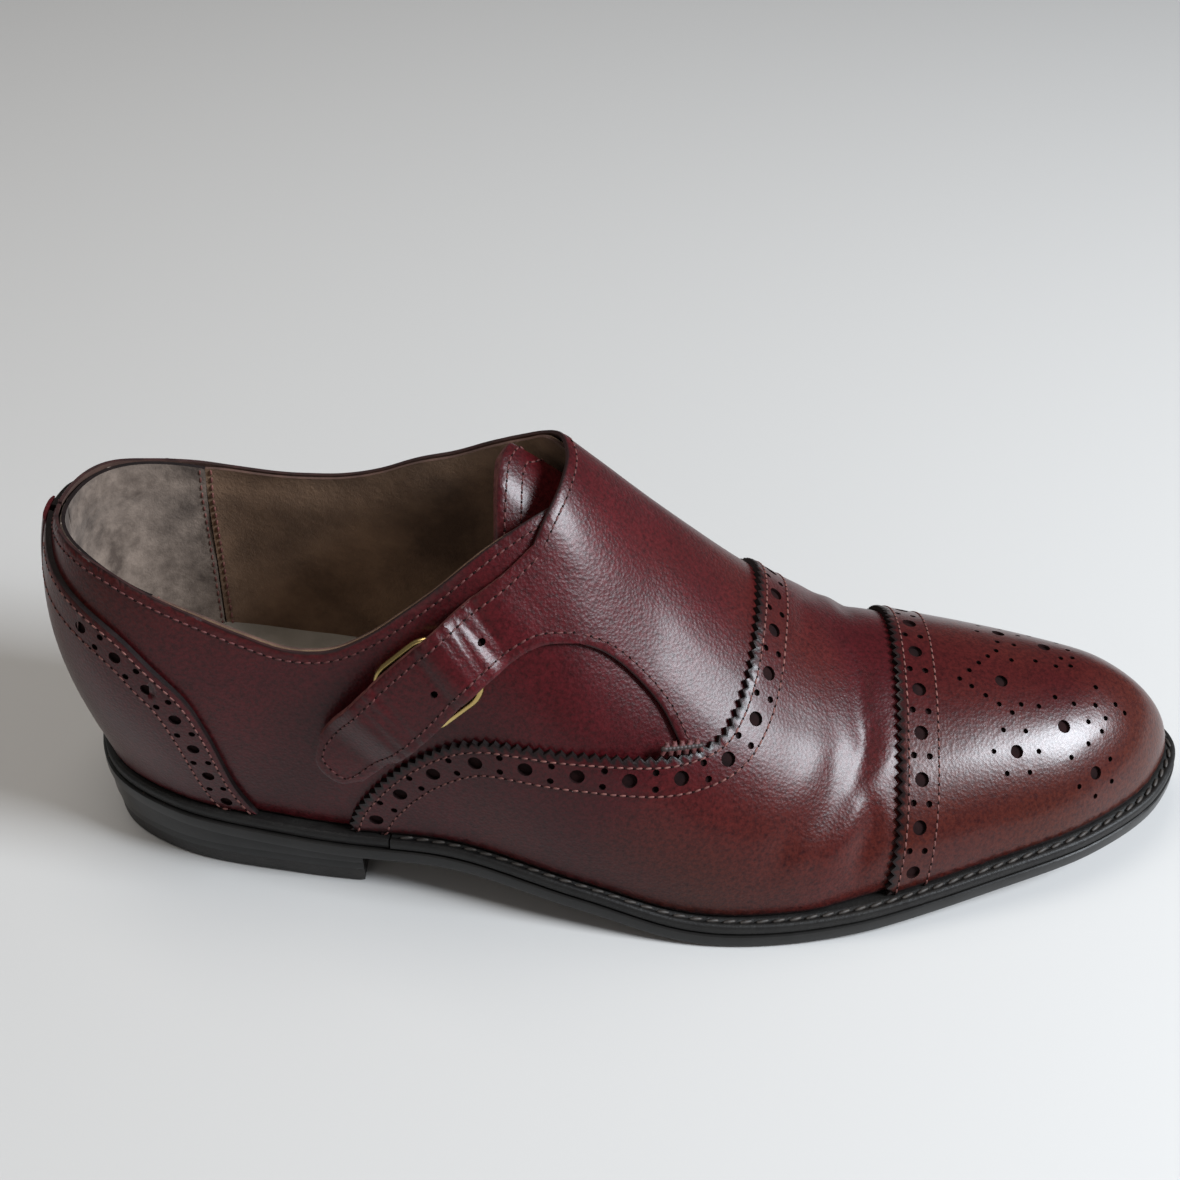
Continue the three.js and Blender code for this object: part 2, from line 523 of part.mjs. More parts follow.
// The tongue hangs from the throat and falls away from the apron towards the foot.
const TONGUE_ROOT_Q = 38;
const TONGUE_TOP_Q = -35;
const TONGUE_DROP = 0.13; // fall per millimetre towards the collar
const TONGUE_ROOT_LEVEL = UNDERLAY - LAYER_GAP - UPPER_LEATHER;
const tongueLevel = (x) => TONGUE_ROOT_LEVEL - (TONGUE_ROOT_Q - x) * TONGUE_DROP;
const tongueLiningLevel = (x) => tongueLevel(x) - LAYER_GAP - LINING_LEATHER;
function tonguePiece(inset, level, thickness) {
  const top = TONGUE_TOP_Q + inset;
  const root = line([[22, -0.4], [33, -0.22], [TONGUE_ROOT_Q, 0], [33, 0.22], [22, 0.38]]);
  const head = line([
    [top, -0.42 + inset / 100], [top + 2, -0.25], [top + 5, -0.08], [top + 9, 0.06],
    [top + 12, 0.2 - inset / 100],
  ]);
  const outer = line([root(0), [0, -0.42], head(0)]);
  const inner = line([root(1), [0, 0.33], head(1)]);
  return leatherPiece(fourSided(outer, inner, root, head, 10, 8), level, thickness);
}
const tongue = () => tonguePiece(0, tongueLevel, UPPER_LEATHER);
const tongueLining = () => tonguePiece(1, tongueLiningLevel, LINING_LEATHER);

// ---------------------------------------------------------------- strap and buckle
// Millimetres along the strap from the middle of the fold, measured on the pattern.
const GIRTH_AT_STRAP = 135;
const flat = ([x, g]) => new THREE.Vector2(x, g * GIRTH_AT_STRAP);
const foldMiddle = flat(FOLD_TOP).lerp(flat(FOLD_BOTTOM), 0.5);
const strapEnd = flat([-73.5, -0.8]);
const strapWay = strapEnd.clone().sub(foldMiddle).normalize();
const BUCKLE_FRONT = [-40.6, -0.549]; // the buckle's front bar on the pattern
const strapAlong = (x, g) => flat([x, g]).sub(foldMiddle).dot(strapWay);
const buckleStart = strapAlong(...BUCKLE_FRONT);
const STRAP_TIP_RISE = 1.5; // the loose end stands off the quarter
const STRAP_RAMP = 15; // run over which the strap climbs on to the buckle
const STRAP_LEATHER = 1.1;
const STRAP_LINING_LEATHER = 0.7;
function strapLiningLevel(x, g) {
  const s = strapAlong(x, g);
  const climb = ease(s, buckleStart - STRAP_RAMP, buckleStart - 2);
  const fall = ease(s, buckleStart + BUCKLE_LENGTH + 4, buckleStart + BUCKLE_LENGTH + STRAP_RAMP + 2);
  return OVERLAY + (STRAP_BUCKLE_RISE - OVERLAY) * climb - (STRAP_BUCKLE_RISE - STRAP_TIP_RISE) * fall;
}
const strapLevel = (x, g) => strapLiningLevel(x, g) + STRAP_LINING_LEATHER + GAP;
function strapPiece(inset, level, thickness) {
  const across = flat(FOLD_TOP).sub(flat(FOLD_BOTTOM)).normalize();
  const moved = ([x, g], along, over) => [
    x + strapWay.x * along + across.x * over,
    g + (strapWay.y * along + across.y * over) / GIRTH_AT_STRAP,
  ];
  const low = STRAP_LOWER.map((p, i) => moved(p, i === 0 ? 0.5 + inset : 0, inset));
  const high = STRAP_UPPER.map((p, i) => moved(p, i === 0 ? 0.5 + inset : 0, -inset));
  const tipInset = [inset, 0, 0, -inset];
  const tip = STRAP_TIP.map((p, i) => moved(p, tipInset[i] === 0 ? -inset : 0, tipInset[i]));
  const grid = fourSided(line(low), line(high), line([low[0], high[0]]), line(tip), 20, 3);
  return leatherPiece(grid, level, thickness);
}
const strap = () => strapPiece(0, strapLevel, STRAP_LEATHER);
const strapLining = () => strapPiece(1, strapLiningLevel, STRAP_LINING_LEATHER);

// The buckle's own frame: origin on the rear bar, a towards the strap's tip, b across it, c outwards.
const CHAPE_LEATHER = 0.8;
const FRONT_BAR_LIFT = 1.1; // keeps the frame's corners off the curved quarter
const barHole = BUCKLE_WIRE_RADIUS + BAR_CLEARANCE;
const loopRadius = barHole + CHAPE_LEATHER;
const quarterFace = BASE + UPPER_LEATHER;
const rearOnPattern = [
  BUCKLE_FRONT[0] + strapWay.x * BUCKLE_LENGTH,
  BUCKLE_FRONT[1] + (strapWay.y * BUCKLE_LENGTH) / GIRTH_AT_STRAP,
];
const rearBar = onPattern(rearOnPattern, quarterFace + GAP + loopRadius);
const frontBar = onPattern(BUCKLE_FRONT, quarterFace + GAP + BUCKLE_WIRE_RADIUS + FRONT_BAR_LIFT);
const buckleA = rearBar.clone().sub(frontBar).normalize();
const outward = rearBar.clone().sub(onPattern(rearOnPattern, 0)).normalize();
const buckleB = new THREE.Vector3().crossVectors(outward, buckleA).normalize();
const buckleC = new THREE.Vector3().crossVectors(buckleA, buckleB);
const buckleFrameMatrix = new THREE.Matrix4().makeBasis(buckleA, buckleB, buckleC).setPosition(rearBar);

// A closed ring of wire along a rounded rectangle.
function buckleFrame() {
  const corner = 5;
  const [l, w] = [BUCKLE_LENGTH, BUCKLE_WIDTH / 2];
  const outline = new THREE.Shape();
  outline.moveTo(0, -w + corner);
  outline.lineTo(0, w - corner);
  outline.quadraticCurveTo(0, w, -corner, w);
  outline.lineTo(-l + corner, w);
  outline.quadraticCurveTo(-l, w, -l, w - corner);
  outline.lineTo(-l, -w + corner);
  outline.quadraticCurveTo(-l, -w, -l + corner, -w);
  outline.lineTo(-corner, -w);
  outline.quadraticCurveTo(0, -w, 0, -w + corner);
  const path = outline.getPoints(4).slice(0, -1);
  const sides = 8;
  const rows = path.map((p, i) => {
    const before = path[(i + path.length - 1) % path.length];
    const after = path[(i + 1) % path.length];
    const along = after.clone().sub(before).normalize();
    return Array.from({ length: sides + 1 }, (_, k) => {
      const angle = (2 * Math.PI * k) / sides;
      const out = BUCKLE_WIRE_RADIUS * Math.cos(angle);
      const height = BUCKLE_WIRE_RADIUS * Math.sin(angle);
      return new THREE.Vector3(p.x + along.y * out, p.y - along.x * out, height);
    });
  });
  const s = shell();
  rows.forEach((row, i) => {
    const next = rows[(i + 1) % rows.length];
    for (let k = 0; k < sides; k += 1) s.quad(row[k], next[k], next[k + 1], row[k + 1]);
  });
  return s.geometry().applyMatrix4(buckleFrameMatrix);
}

// ---------------------------------------------------------------- solid joins and cuts
const wasm = await Module();
wasm.setup();
function toSolid(geometry) {
  const bare = geometry.clone();
  bare.deleteAttribute("normal");
  bare.deleteAttribute("uv");
  const merged = mergeVertices(bare, 1e-4);
  return new wasm.Manifold(new wasm.Mesh({
    numProp: 3,
    vertProperties: new Float32Array(merged.attributes.position.array),
    triVerts: new Uint32Array(merged.index.array),
  }));
}
const WELD = 0.004; // corners closer than this become one
function fromSolid(solid) {
  const mesh = solid.simplify(WELD).getMesh();
  const g = new THREE.BufferGeometry();
  g.setAttribute("position", new THREE.Float32BufferAttribute(mesh.vertProperties, 3));
  g.setIndex(new THREE.BufferAttribute(mesh.triVerts, 1));
  return g;
}
// A flat shape in the buckle's a-c plane, given a width along b.
function acrossBar(shape, width, curveSegments) {
  return new THREE.ExtrudeGeometry(shape, { depth: width, bevelEnabled: false, curveSegments })
    .rotateX(Math.PI / 2)
    .translate(0, width / 2, 0);
}
function eye(outerRadius) {
  const shape = new THREE.Shape().absarc(0, 0, outerRadius, 0, 2 * Math.PI, false);
  shape.holes.push(new THREE.Path().absarc(0, 0, barHole, 0, 2 * Math.PI, true));
  return shape;
}
const EYE_WIDTH = 2;
function buckleProng() {
  const reach = BUCKLE_LENGTH + 1.6;
  const rise = BUCKLE_WIRE_RADIUS + GAP + PRONG_RADIUS;
  const start = new THREE.Vector3(-0.6, 0, barHole + CHAPE_LEATHER / 2);
  const tip = new THREE.Vector3(-reach, 0, rise);
  const length = tip.distanceTo(start);
  const rod = new THREE.CylinderGeometry(PRONG_RADIUS * 0.85, PRONG_RADIUS, length, 10)
    .translate(0, length / 2, 0)
    .applyQuaternion(new THREE.Quaternion().setFromUnitVectors(
      new THREE.Vector3(0, 1, 0), tip.clone().sub(start).normalize()))
    .translate(start.x, start.y, start.z);
  const hole = toSolid(new THREE.CylinderGeometry(barHole, barHole, 4 * EYE_WIDTH, 14));
  const ringSolid = toSolid(acrossBar(eye(loopRadius), EYE_WIDTH, 12));
  return fromSolid(ringSolid.add(toSolid(rod)).subtract(hole)).applyMatrix4(buckleFrameMatrix);
}
// The chape loops round the rear bar, with a slot for the prong, and its tail lies on the quarter.
const CHAPE_WIDTH = 13;
const CHAPE_TAIL = 15;
const TAIL_START = 0.22; // the tail begins this far behind the bar's hole
const TAIL_UNDER_BAR = -0.93; // its inner face there, below the bar's axis
const TAIL_SPREAD = 1.4; // how much thicker it is where it leaves the loop
function chape() {
  const loop = toSolid(acrossBar(eye(loopRadius), CHAPE_WIDTH, 12));
  const slotReach = 2 * loopRadius + 1;
  const slot = toSolid(new THREE.BoxGeometry(slotReach, EYE_WIDTH + 1, slotReach).translate(-0.4, 0, 0));
  const onQuarter = (a, b) => [
    rearOnPattern[0] + strapWay.x * a - strapWay.y * b,
    rearOnPattern[1] + (strapWay.y * a + strapWay.x * b) / GIRTH_AT_STRAP,
  ];
  const toLocal = buckleFrameMatrix.clone().invert();
  const tailRows = 6;
  const tailStart = barHole + TAIL_START;
  const grid = (extra) =>
    Array.from({ length: tailRows + 1 }, (_, i) => {
      const a = tailStart + ((CHAPE_TAIL - tailStart) * i) / tailRows;
      const settle = ease(a, tailStart, 5);
      return [-0.5, -0.25, 0, 0.25, 0.5].map((share) => {
        const b = share * CHAPE_WIDTH;
        const loose = new THREE.Vector3(a, b, TAIL_UNDER_BAR + TAIL_SPREAD * extra);
        const laid = onPattern(onQuarter(a, b), quarterFace + GAP + extra).applyMatrix4(toLocal);
        return loose.lerp(laid, settle);
      });
    });
  const tail = toSolid(wall(grid(0), grid(CHAPE_LEATHER)));
  return fromSolid(loop.add(tail).subtract(slot)).applyMatrix4(buckleFrameMatrix);
}
// A short whipped block that ties the apron's front corner down.
function strapBarTack() {
  const low = line([[10, -0.575], [17, -0.545]]);
  const high = line([[8.5, -0.55], [15.5, -0.52]]);
  const grid = fourSided(low, high, line([low(0), high(0)]), line([low(1), high(1)]), 2, 1);
  return leatherPiece(grid, steady(OVERLAY + UPPER_LEATHER + GAP), 1);
}

// ---------------------------------------------------------------- bottom
// Even stations from heel to toe.
const STATIONS = 30;
const stations = Array.from({ length: STATIONS + 1 }, (_, i) => BACK_Q + ((TIP_Q - BACK_Q) * i) / STATIONS);
const ACROSS = 3;
// A flat layer over part of the plan: inset from the outsole's edge or from the feather line.
function layer(qs, edge, lowAt, highAt) {
  const rows = qs.map((q) => {
    const [outer, inner] = [-1, 1].map((side) => edge(ringAt(q, side)));
    return Array.from({ length: ACROSS + 1 }, (_, j) => outer.clone().lerp(inner, j / ACROSS));
  });
  const at = (height) => rows.map((row) => row.map((p) => new THREE.Vector3(p.x, p.y, height(p.x))));
  return wall(at(lowAt), at(highAt));
}
const fromPlan = (inset) => (u) => onRing(ring, u).addScaledVector(onRing(ringNormal, u), -inset);
const fromFeather = (inset) => (u) => onRing(feather, u).addScaledVector(onRing(ringNormal, u), -inset);
const above = (rise) => (x) => soleUnderside(x) + rise;
const outsole = () => layer(stations, fromPlan(0), above(0), above(OUTSOLE_THICKNESS));
const weltBase = OUTSOLE_THICKNESS + GAP;
const weltTop = weltBase + WELT_THICKNESS;
const WELT_SEAT = 8; // width of the welt beneath the upper
const WELT_END_Q = -60;
function weltStrip(uStart, uEnd, rows, edgeInset) {
  const us = Array.from({ length: rows + 1 }, (_, i) => uStart + ((uEnd - uStart) * i) / rows);
  const at = (rise) =>
    us.map((u) =>
      [fromFeather(WELT_SEAT)(u), fromFeather(-1)(u), fromPlan(edgeInset)(u)].map(
        (p) => new THREE.Vector3(p.x, p.y, soleUnderside(p.x) + rise)));
  return wall(at(weltBase), at(weltTop));
}
const WELT_GAP_Q = 0.5;
const welt = () => weltStrip(ringAt(WELT_END_Q, 1), ringAt(WELT_END_Q, -1), 52, 0.4);
const heelRand = () => weltStrip(...roundHeel(WELT_END_Q - WELT_GAP_Q), 26, 0.8);
const FILLER_FROM_Q = -22;
const SHANK_FROM_Q = -112;
const filler = () =>
  layer([FILLER_FROM_Q, ...stations.filter((q) => q > FILLER_FROM_Q + 3)], fromFeather(WELT_SEAT + 1),
    above(weltBase), above(weltTop));
function shank() {
  const [from, to] = [SHANK_FROM_Q, FILLER_FROM_Q - 2];
  const halfWidth = 7;
  const rows = Array.from({ length: 9 }, (_, i) => {
    const q = from + ((to - from) * i) / 8;
    const middle = onRing(feather, ringAt(q, -1)).lerp(onRing(feather, ringAt(q, 1)), 0.5);
    const underside = soleUnderside(middle.x);
    return [-halfWidth, halfWidth].map((y) => new THREE.Vector3(middle.x, middle.y + y, underside));
  });
  const at = (rise) => rows.map((row) => row.map((p) => p.clone().setZ(p.z + rise)));
  return wall(at(weltBase + 0.5), at(weltTop - 0.8));
}
const insoleBase = weltTop + GAP;
const upperInside = UPPER_LEATHER - OVERLAY - LINING; // insole edge inside the linings
const insole = () =>
  layer(stations, fromFeather(upperInside), above(insoleBase), above(insoleBase + INSOLE_THICKNESS));
// The sock thickens into a cushion under the heel.
const sockBase = insoleBase + INSOLE_THICKNESS + GAP;
const cushion = (x) => HEEL_CUSHION * (1 - ease(x, ...HEEL_CUSHION_END));
const sockTop = (x) => above(sockBase + SOCK_THICKNESS)(x) + cushion(x);
const sock = () => layer(stations, fromFeather(upperInside + 0.6), above(sockBase), sockTop);
const HEEL_INSET = 1.6; // the heel stack stands this far inside the outsole's edge
const heelStations = [...stations.filter((q) => q < HEEL_BREAST_Q - 3), HEEL_BREAST_Q];
const heelLayer = (lowAt, highAt, inset) => layer(heelStations, fromPlan(inset), lowAt, highAt);
const flatAt = (height) => () => height;
const liftBase = TOP_PIECE_THICKNESS + GAP;
const wedgeBase = liftBase + HEEL_LIFT_THICKNESS + GAP;
const heelLift1 = () => heelLayer(flatAt(liftBase), flatAt(liftBase + HEEL_LIFT_THICKNESS), HEEL_INSET);
const heelLift2 = () => heelLayer(flatAt(wedgeBase), above(-GAP), HEEL_INSET * 0.6);
// Nails ring the heel's wearing layer, each in its own hole.
const nailSpots = Array.from({ length: NAIL_COUNT }, (_, i) => {
  const [outer, inner] = roundHeel(HEEL_BREAST_Q - 12);
  return fromPlan(9)(outer + ((inner - outer) * i) / (NAIL_COUNT - 1));
});
const nailCylinder = (spot, radius, from, to) =>
  new THREE.CylinderGeometry(radius, radius, to - from, 10)
    .rotateX(Math.PI / 2)
    .translate(spot.x, spot.y, (from + to) / 2);
function heelTopPiece() {
  let solid = toSolid(heelLayer(flatAt(0), flatAt(TOP_PIECE_THICKNESS), HEEL_INSET + 0.4));
  for (const spot of nailSpots) {
    solid = solid.subtract(toSolid(nailCylinder(spot, NAIL_RADIUS + GAP, -1, TOP_PIECE_THICKNESS + 1)));
  }
  return fromSolid(solid);
}
const heelNail = (spot) => nailCylinder(spot, NAIL_RADIUS, GAP, TOP_PIECE_THICKNESS);

// ---------------------------------------------------------------- finishes
const finish = (color, roughness, metalness = 0) => () =>
  new THREE.MeshStandardMaterial({ color, roughness, metalness });
const calf = finish(0x5a1c1e, 0.38);
const quarterLeather = finish(0x54191c, 0.4);
const suedeLining = finish(0x6b5446, 0.9);
const gripSuede = finish(0x6e625c, 0.95);
const sockLeather = finish(0x8a8078, 0.8);
const blackLeather = finish(0x17120f, 0.5);
const brass = finish(0xb9964f, 0.25, 1);
const steel = finish(0x8d9094, 0.35, 1);
const cork = finish(0x9a7448, 0.9);
const board = finish(0xb08a62, 0.85);
const rubber = finish(0x141414, 0.7);
const thread = finish(0x2a1013, 0.7);

// ---------------------------------------------------------------- assembly
const shoe = new THREE.Group();
function addPiece(name, geometry, material) {
  const mesh = new THREE.Mesh(geometry, material());
  mesh.name = name;
  shoe.add(mesh);
}
addPiece("toe_cap", toeCap(), calf);
addPiece("vamp", vamp(), calf);
addPiece("outer_quarter", outerQuarter(), quarterLeather);
addPiece("inner_quarter", innerQuarter(), quarterLeather);
addPiece("outer_foxing", foxing(-1), calf);
addPiece("inner_foxing", foxing(1), calf);
addPiece("backstay", backstay(), calf);
addPiece("tongue", tongue(), quarterLeather);
addPiece("tongue_lining", tongueLining(), suedeLining);
addPiece("toe_puff", toePuff(), board);
addPiece("heel_stiffener", heelStiffener(), board);
addPiece("vamp_lining", vampLining(), suedeLining);
addPiece("outer_quarter_lining", outerQuarterLining(), suedeLining);
addPiece("inner_quarter_lining", innerQuarterLining(), suedeLining);
addPiece("heel_grip_lining", heelGripLining(), gripSuede);
addPiece("strap", strap(), calf);
addPiece("strap_lining", strapLining(), suedeLining);
addPiece("strap_bar_tack", strapBarTack(), thread);
addPiece("buckle_frame", buckleFrame(), brass);
addPiece("buckle_prong", buckleProng(), brass);
addPiece("chape", chape(), calf);
addPiece("outsole", outsole(), blackLeather);
addPiece("welt", welt(), blackLeather);
addPiece("heel_rand", heelRand(), blackLeather);
addPiece("cork_filler", filler(), cork);
addPiece("shank", shank(), steel);
addPiece("insole", insole(), board);
addPiece("sock", sock(), sockLeather);
addPiece("heel_lift_1", heelLift1(), blackLeather);
addPiece("heel_lift_2", heelLift2(), blackLeather);
addPiece("heel_top_piece", heelTopPiece(), rubber);
nailSpots.forEach((spot, i) => addPiece(`heel_nail_${i + 1}`, heelNail(spot), steel));

// The origin is the middle of the shoe's box, on the ground.
const box = new THREE.Box3().setFromObject(shoe);
const middle = box.getCenter(new THREE.Vector3());
for (const piece of shoe.children) {
  piece.geometry.translate(-middle.x, -middle.y, -box.min.z);
}

export default shoe;
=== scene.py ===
"""Visual model of a single monk-strap brogue shoe, built round its CAD frame."""

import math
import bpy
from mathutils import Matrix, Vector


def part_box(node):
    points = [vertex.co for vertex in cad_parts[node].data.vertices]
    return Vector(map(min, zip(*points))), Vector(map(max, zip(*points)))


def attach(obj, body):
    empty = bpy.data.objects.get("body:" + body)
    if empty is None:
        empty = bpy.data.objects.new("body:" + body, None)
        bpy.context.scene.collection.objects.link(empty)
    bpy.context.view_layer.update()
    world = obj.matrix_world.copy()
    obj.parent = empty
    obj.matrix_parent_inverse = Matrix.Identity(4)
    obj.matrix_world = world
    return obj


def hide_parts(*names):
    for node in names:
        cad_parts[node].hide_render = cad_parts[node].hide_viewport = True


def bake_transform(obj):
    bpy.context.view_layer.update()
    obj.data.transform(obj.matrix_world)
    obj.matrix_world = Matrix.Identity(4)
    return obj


bl_info = {
    "name": "Monk-strap brogue",
    "version": (1, 0, 0),
    "blender": (4, 5, 0),
    "location": "View3D > Sidebar > Shoe",
    "description": "Leather upper, stitching, welt, sole, heel and buckle of a strapped brogue shoe",
    "category": "Object",
}

import bmesh
import bpy
import numpy as np
from mathutils import Matrix, Vector
from mathutils.geometry import delaunay_2d_cdt

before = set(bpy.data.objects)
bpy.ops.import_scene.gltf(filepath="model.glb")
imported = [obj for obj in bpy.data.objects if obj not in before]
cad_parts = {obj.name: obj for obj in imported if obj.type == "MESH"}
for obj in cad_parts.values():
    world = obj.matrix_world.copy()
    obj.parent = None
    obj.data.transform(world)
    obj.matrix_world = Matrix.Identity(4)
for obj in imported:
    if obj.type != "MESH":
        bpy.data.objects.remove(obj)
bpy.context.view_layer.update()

# ------------------------------------------------------------------ the last, in millimetres
MM = 0.001
OUTSOLE, GAP, WELT = 4.0, 0.3, 2.9
WELT_LEDGE, HEEL_LEDGE = 4.5, 3.2
HEEL_HEIGHT, TOE_SPRING, HEEL_BULGE = 15.5, 9.4, 10.5
FEATHER_RISE = OUTSOLE + GAP + WELT + 0.5
SOLE_PLAN = [
    (151, 7), (143.5, -11.5), (123, -28.5), (92, -41.5), (58, -52), (24, -56), (-12.5, -50.5),
    (-49, -41), (-85, -36.5), (-117.5, -29.5), (-136, -17), (-142.5, 2), (-137.5, 20.5), (-118, 32.5),
    (-85, 33.5), (-48, 31), (-12, 36), (20, 47), (52, 52.5), (84, 47.5), (114, 38.5), (139, 25.5),
]
SOLE_PROFILE = [
    (-143, HEEL_HEIGHT), (-72, HEEL_HEIGHT * 0.68), (-40, HEEL_HEIGHT * 0.68), (-10, HEEL_HEIGHT * 0.39),
    (14, 0.9), (36, 0), (58, 0.9), (78, TOE_SPRING * 0.36), (110, TOE_SPRING * 0.75), (151, TOE_SPRING),
]
RIDGE_HEIGHT = [
    (-130, 150), (-100, 152.5), (-70, 148.5), (-45, 135.5), (-25, 120), (-8, 104.5), (10, 87.5),
    (30, 70), (50, 55.5), (70, 50.5), (92, 47), (118, 42.5),
]
RIDGE_SIDEWAYS = [(-130, 1.4), (-70, 2.3), (-25, 5), (10, 8.4), (50, 8.7), (90, 7), (118, 7)]
BULGE = [(-151, HEEL_BULGE), (-125, HEEL_BULGE), (-80, 3.9), (-20, 3.9), (40, 2.6), (100, 0), (151, 0)]
HEEL_POLE_X, TOE_POLE_X, POLE_SOFTNESS = -112, 115.7, 24
WALL_POWER, CROWN_POWER, BULGE_TOP = 1.06, 1.14, 0.62
HEEL_TURN_Q, BACK_Q, TOE_TURN_Q, TIP_Q = -115, -154, 118, 162
RING = 720


def profile(pairs):
    """A smooth curve through (x, value) pairs."""
    xs, vs = np.array(pairs, float).T
    slopes = np.gradient(vs, xs)
    slopes[1:-1] = (vs[2:] - vs[:-2]) / (xs[2:] - xs[:-2])

    def at(x):
        x = np.asarray(x, float)
        i = np.clip(np.searchsorted(xs, x) - 1, 0, len(xs) - 2)
        h = xs[i + 1] - xs[i]
        s = np.clip((x - xs[i]) / h, 0, 1)
        s2, s3 = s**2, s**3
        near = vs[i] * (2 * s3 - 3 * s2 + 1) + h * slopes[i] * (s3 - 2 * s2 + s)
        return near + vs[i + 1] * (3 * s2 - 2 * s3) + h * slopes[i + 1] * (s3 - s2)

    return at


def spline(points, closed=False, steps=60):
    """Dense points of a centripetal Catmull-Rom curve."""
    p = np.asarray(points, float)
    if not closed:
        p = np.vstack([2 * p[0] - p[1], p, 2 * p[-1] - p[-2]])
    count = len(p) if closed else len(p) - 3
    w = np.linspace(0, 1, steps, endpoint=False)[:, None]
    out = []
    for i in range(count):
        a, b, c, d = (p[(i + k) % len(p)] for k in ((-1, 0, 1, 2) if closed else (0, 1, 2, 3)))
        d0, d1, d2 = (max(np.sum((y - x) ** 2), 1e-12) ** 0.25 for x, y in ((a, b), (b, c), (c, d)))
        t1 = ((b - a) / d0 - (c - a) / (d0 + d1) + (c - b) / d1) * d1
        t2 = ((c - b) / d1 - (d - b) / (d1 + d2) + (d - c) / d2) * d1
        out.append(b + t1 * w + (-3 * b + 3 * c - 2 * t1 - t2) * w**2 + (2 * b - 2 * c + t1 + t2) * w**3)
    if not closed:
        out.append(p[-2:-1])
    return np.vstack(out)


def even(points, count, measure=None, closed=False):
    """Points spaced evenly along a dense line, by the length of measure."""
    measure = points if measure is None else measure
    if closed:
        points, measure = np.vstack([points, points[:1]]), np.vstack([measure, measure[:1]])
    length = np.r_[0, np.cumsum(np.linalg.norm(np.diff(measure, axis=0), axis=1))]
    at = np.linspace(0, length[-1], count + 1)
    at = at[:-1] if closed else at
    return np.stack([np.interp(at, length, points[:, k]) for k in range(points.shape[1])], -1)


def unit(v):
    return v / np.maximum(np.linalg.norm(v, axis=-1, keepdims=True), 1e-9)


def ease(x, a, b):
    s = np.clip((np.asarray(x, float) - a) / (b - a), 0, 1)
    return s * s * (3 - 2 * s)


def smooth_min(a, b, softness):
    h = np.clip(0.5 + 0.5 * (b - a) / softness, 0, 1)
    return b * (1 - h) + a * h - softness * h * (1 - h)


sole_underside, ridge_height, ridge_sideways, bulge = map(
    profile, (SOLE_PROFILE, RIDGE_HEIGHT, RIDGE_SIDEWAYS, BULGE)
)
PLAN = even(spline(SOLE_PLAN, closed=True), RING, closed=True)
_along = unit(np.roll(PLAN, -1, 0) - np.roll(PLAN, 1, 0))
PLAN_NORMAL = np.stack([-_along[:, 1], _along[:, 0]], -1)


def ledge(x):
    middle = 0.6 * HEEL_LEDGE + 0.4 * WELT_LEDGE
    waist, fore = np.clip((x + 85) / 50, 0, 1), np.clip((x + 10) / 50, 0, 1)
    return HEEL_LEDGE + (middle - HEEL_LEDGE) * waist + (WELT_LEDGE - middle) * fore


FEATHER = PLAN - PLAN_NORMAL * ledge(PLAN[:, 0])[:, None]
TOE_TIP, HEEL_BACK = int(FEATHER[:, 0].argmax()), int(FEATHER[:, 0].argmin())


def on_ring(values, u):
    u = np.asarray(u, float)
    whole = np.floor(u).astype(int)
    w = u - whole
    if values.ndim > 1:
        w = w[..., None]
    return values[whole % RING] * (1 - w) + values[(whole + 1) % RING] * w


def ridge_station(x):
    return -smooth_min(-smooth_min(x, TOE_POLE_X, POLE_SOFTNESS), -HEEL_POLE_X, POLE_SOFTNESS)


def last_point(u, t):
    u, t = np.broadcast_arrays(np.asarray(u, float), np.asarray(t, float))
    n = unit(on_ring(PLAN_NORMAL, u))
    foot = on_ring(FEATHER, u)
    x = foot[..., 0]
    station = ridge_station(x)
    base = sole_underside(x) + FEATHER_RISE
    lean = 1 - np.maximum(np.cos(math.pi * t / 2), 0) ** WALL_POWER
    rise = np.maximum(np.sin(math.pi * t / 2), 0) ** CROWN_POWER
    swell = bulge(x) * np.sin(math.pi * np.clip(t, 0, BULGE_TOP) / BULGE_TOP).clip(0) ** 1.3
    return np.stack([
        x * (1 - lean) + station * lean + n[..., 0] * swell,
        foot[..., 1] * (1 - lean) + ridge_sideways(station) * lean + n[..., 1] * swell,
        base + (ridge_height(station) - base) * rise,
    ], -1)


def last_normal(u, t):
    flat = unit(on_ring(PLAN_NORMAL, u))
    level = np.concatenate([flat, np.zeros_like(flat[..., :1])], -1)
    station = ridge_station(on_ring(FEATHER, u)[..., 0])
    slope = (ridge_height(station + 1) - ridge_height(station - 1)) / 2
    ridge = unit(np.stack([-slope, 0 * slope, 1 + 0 * slope], -1))
    climb = np.clip(t, 0.01, 0.98)
    along = last_point(u + 1.5, climb) - last_point(u - 1.5, climb)
    up = last_point(u, climb + 0.01) - last_point(u, climb - 0.01)
    n = unit(np.cross(along, up))
    n = np.where(((n * level).sum(-1) + n[..., 2] < 0)[..., None], -n, n)
    w = ease(t, 0.85, 1)[..., None]
    n = n * (1 - w) + ridge * w
    w = 1 - ease(t, 0, 0.12)[..., None]
    return unit(n * (1 - w) + level * w)


# Girth lengths of every ring position, and the climb at each share of the girth.
_climbs = np.linspace(0, 1, 25)
_girth_points = last_point(np.arange(RING)[:, None], _climbs[None, :])
_lengths = np.linalg.norm(np.diff(_girth_points, axis=1), axis=-1).cumsum(1)
GIRTH = _lengths[:, -1]
SHARES = np.linspace(0, 1, 241)
CLIMB = np.array([np.interp(SHARES, np.r_[0, row] / row[-1], _climbs) for row in _lengths])


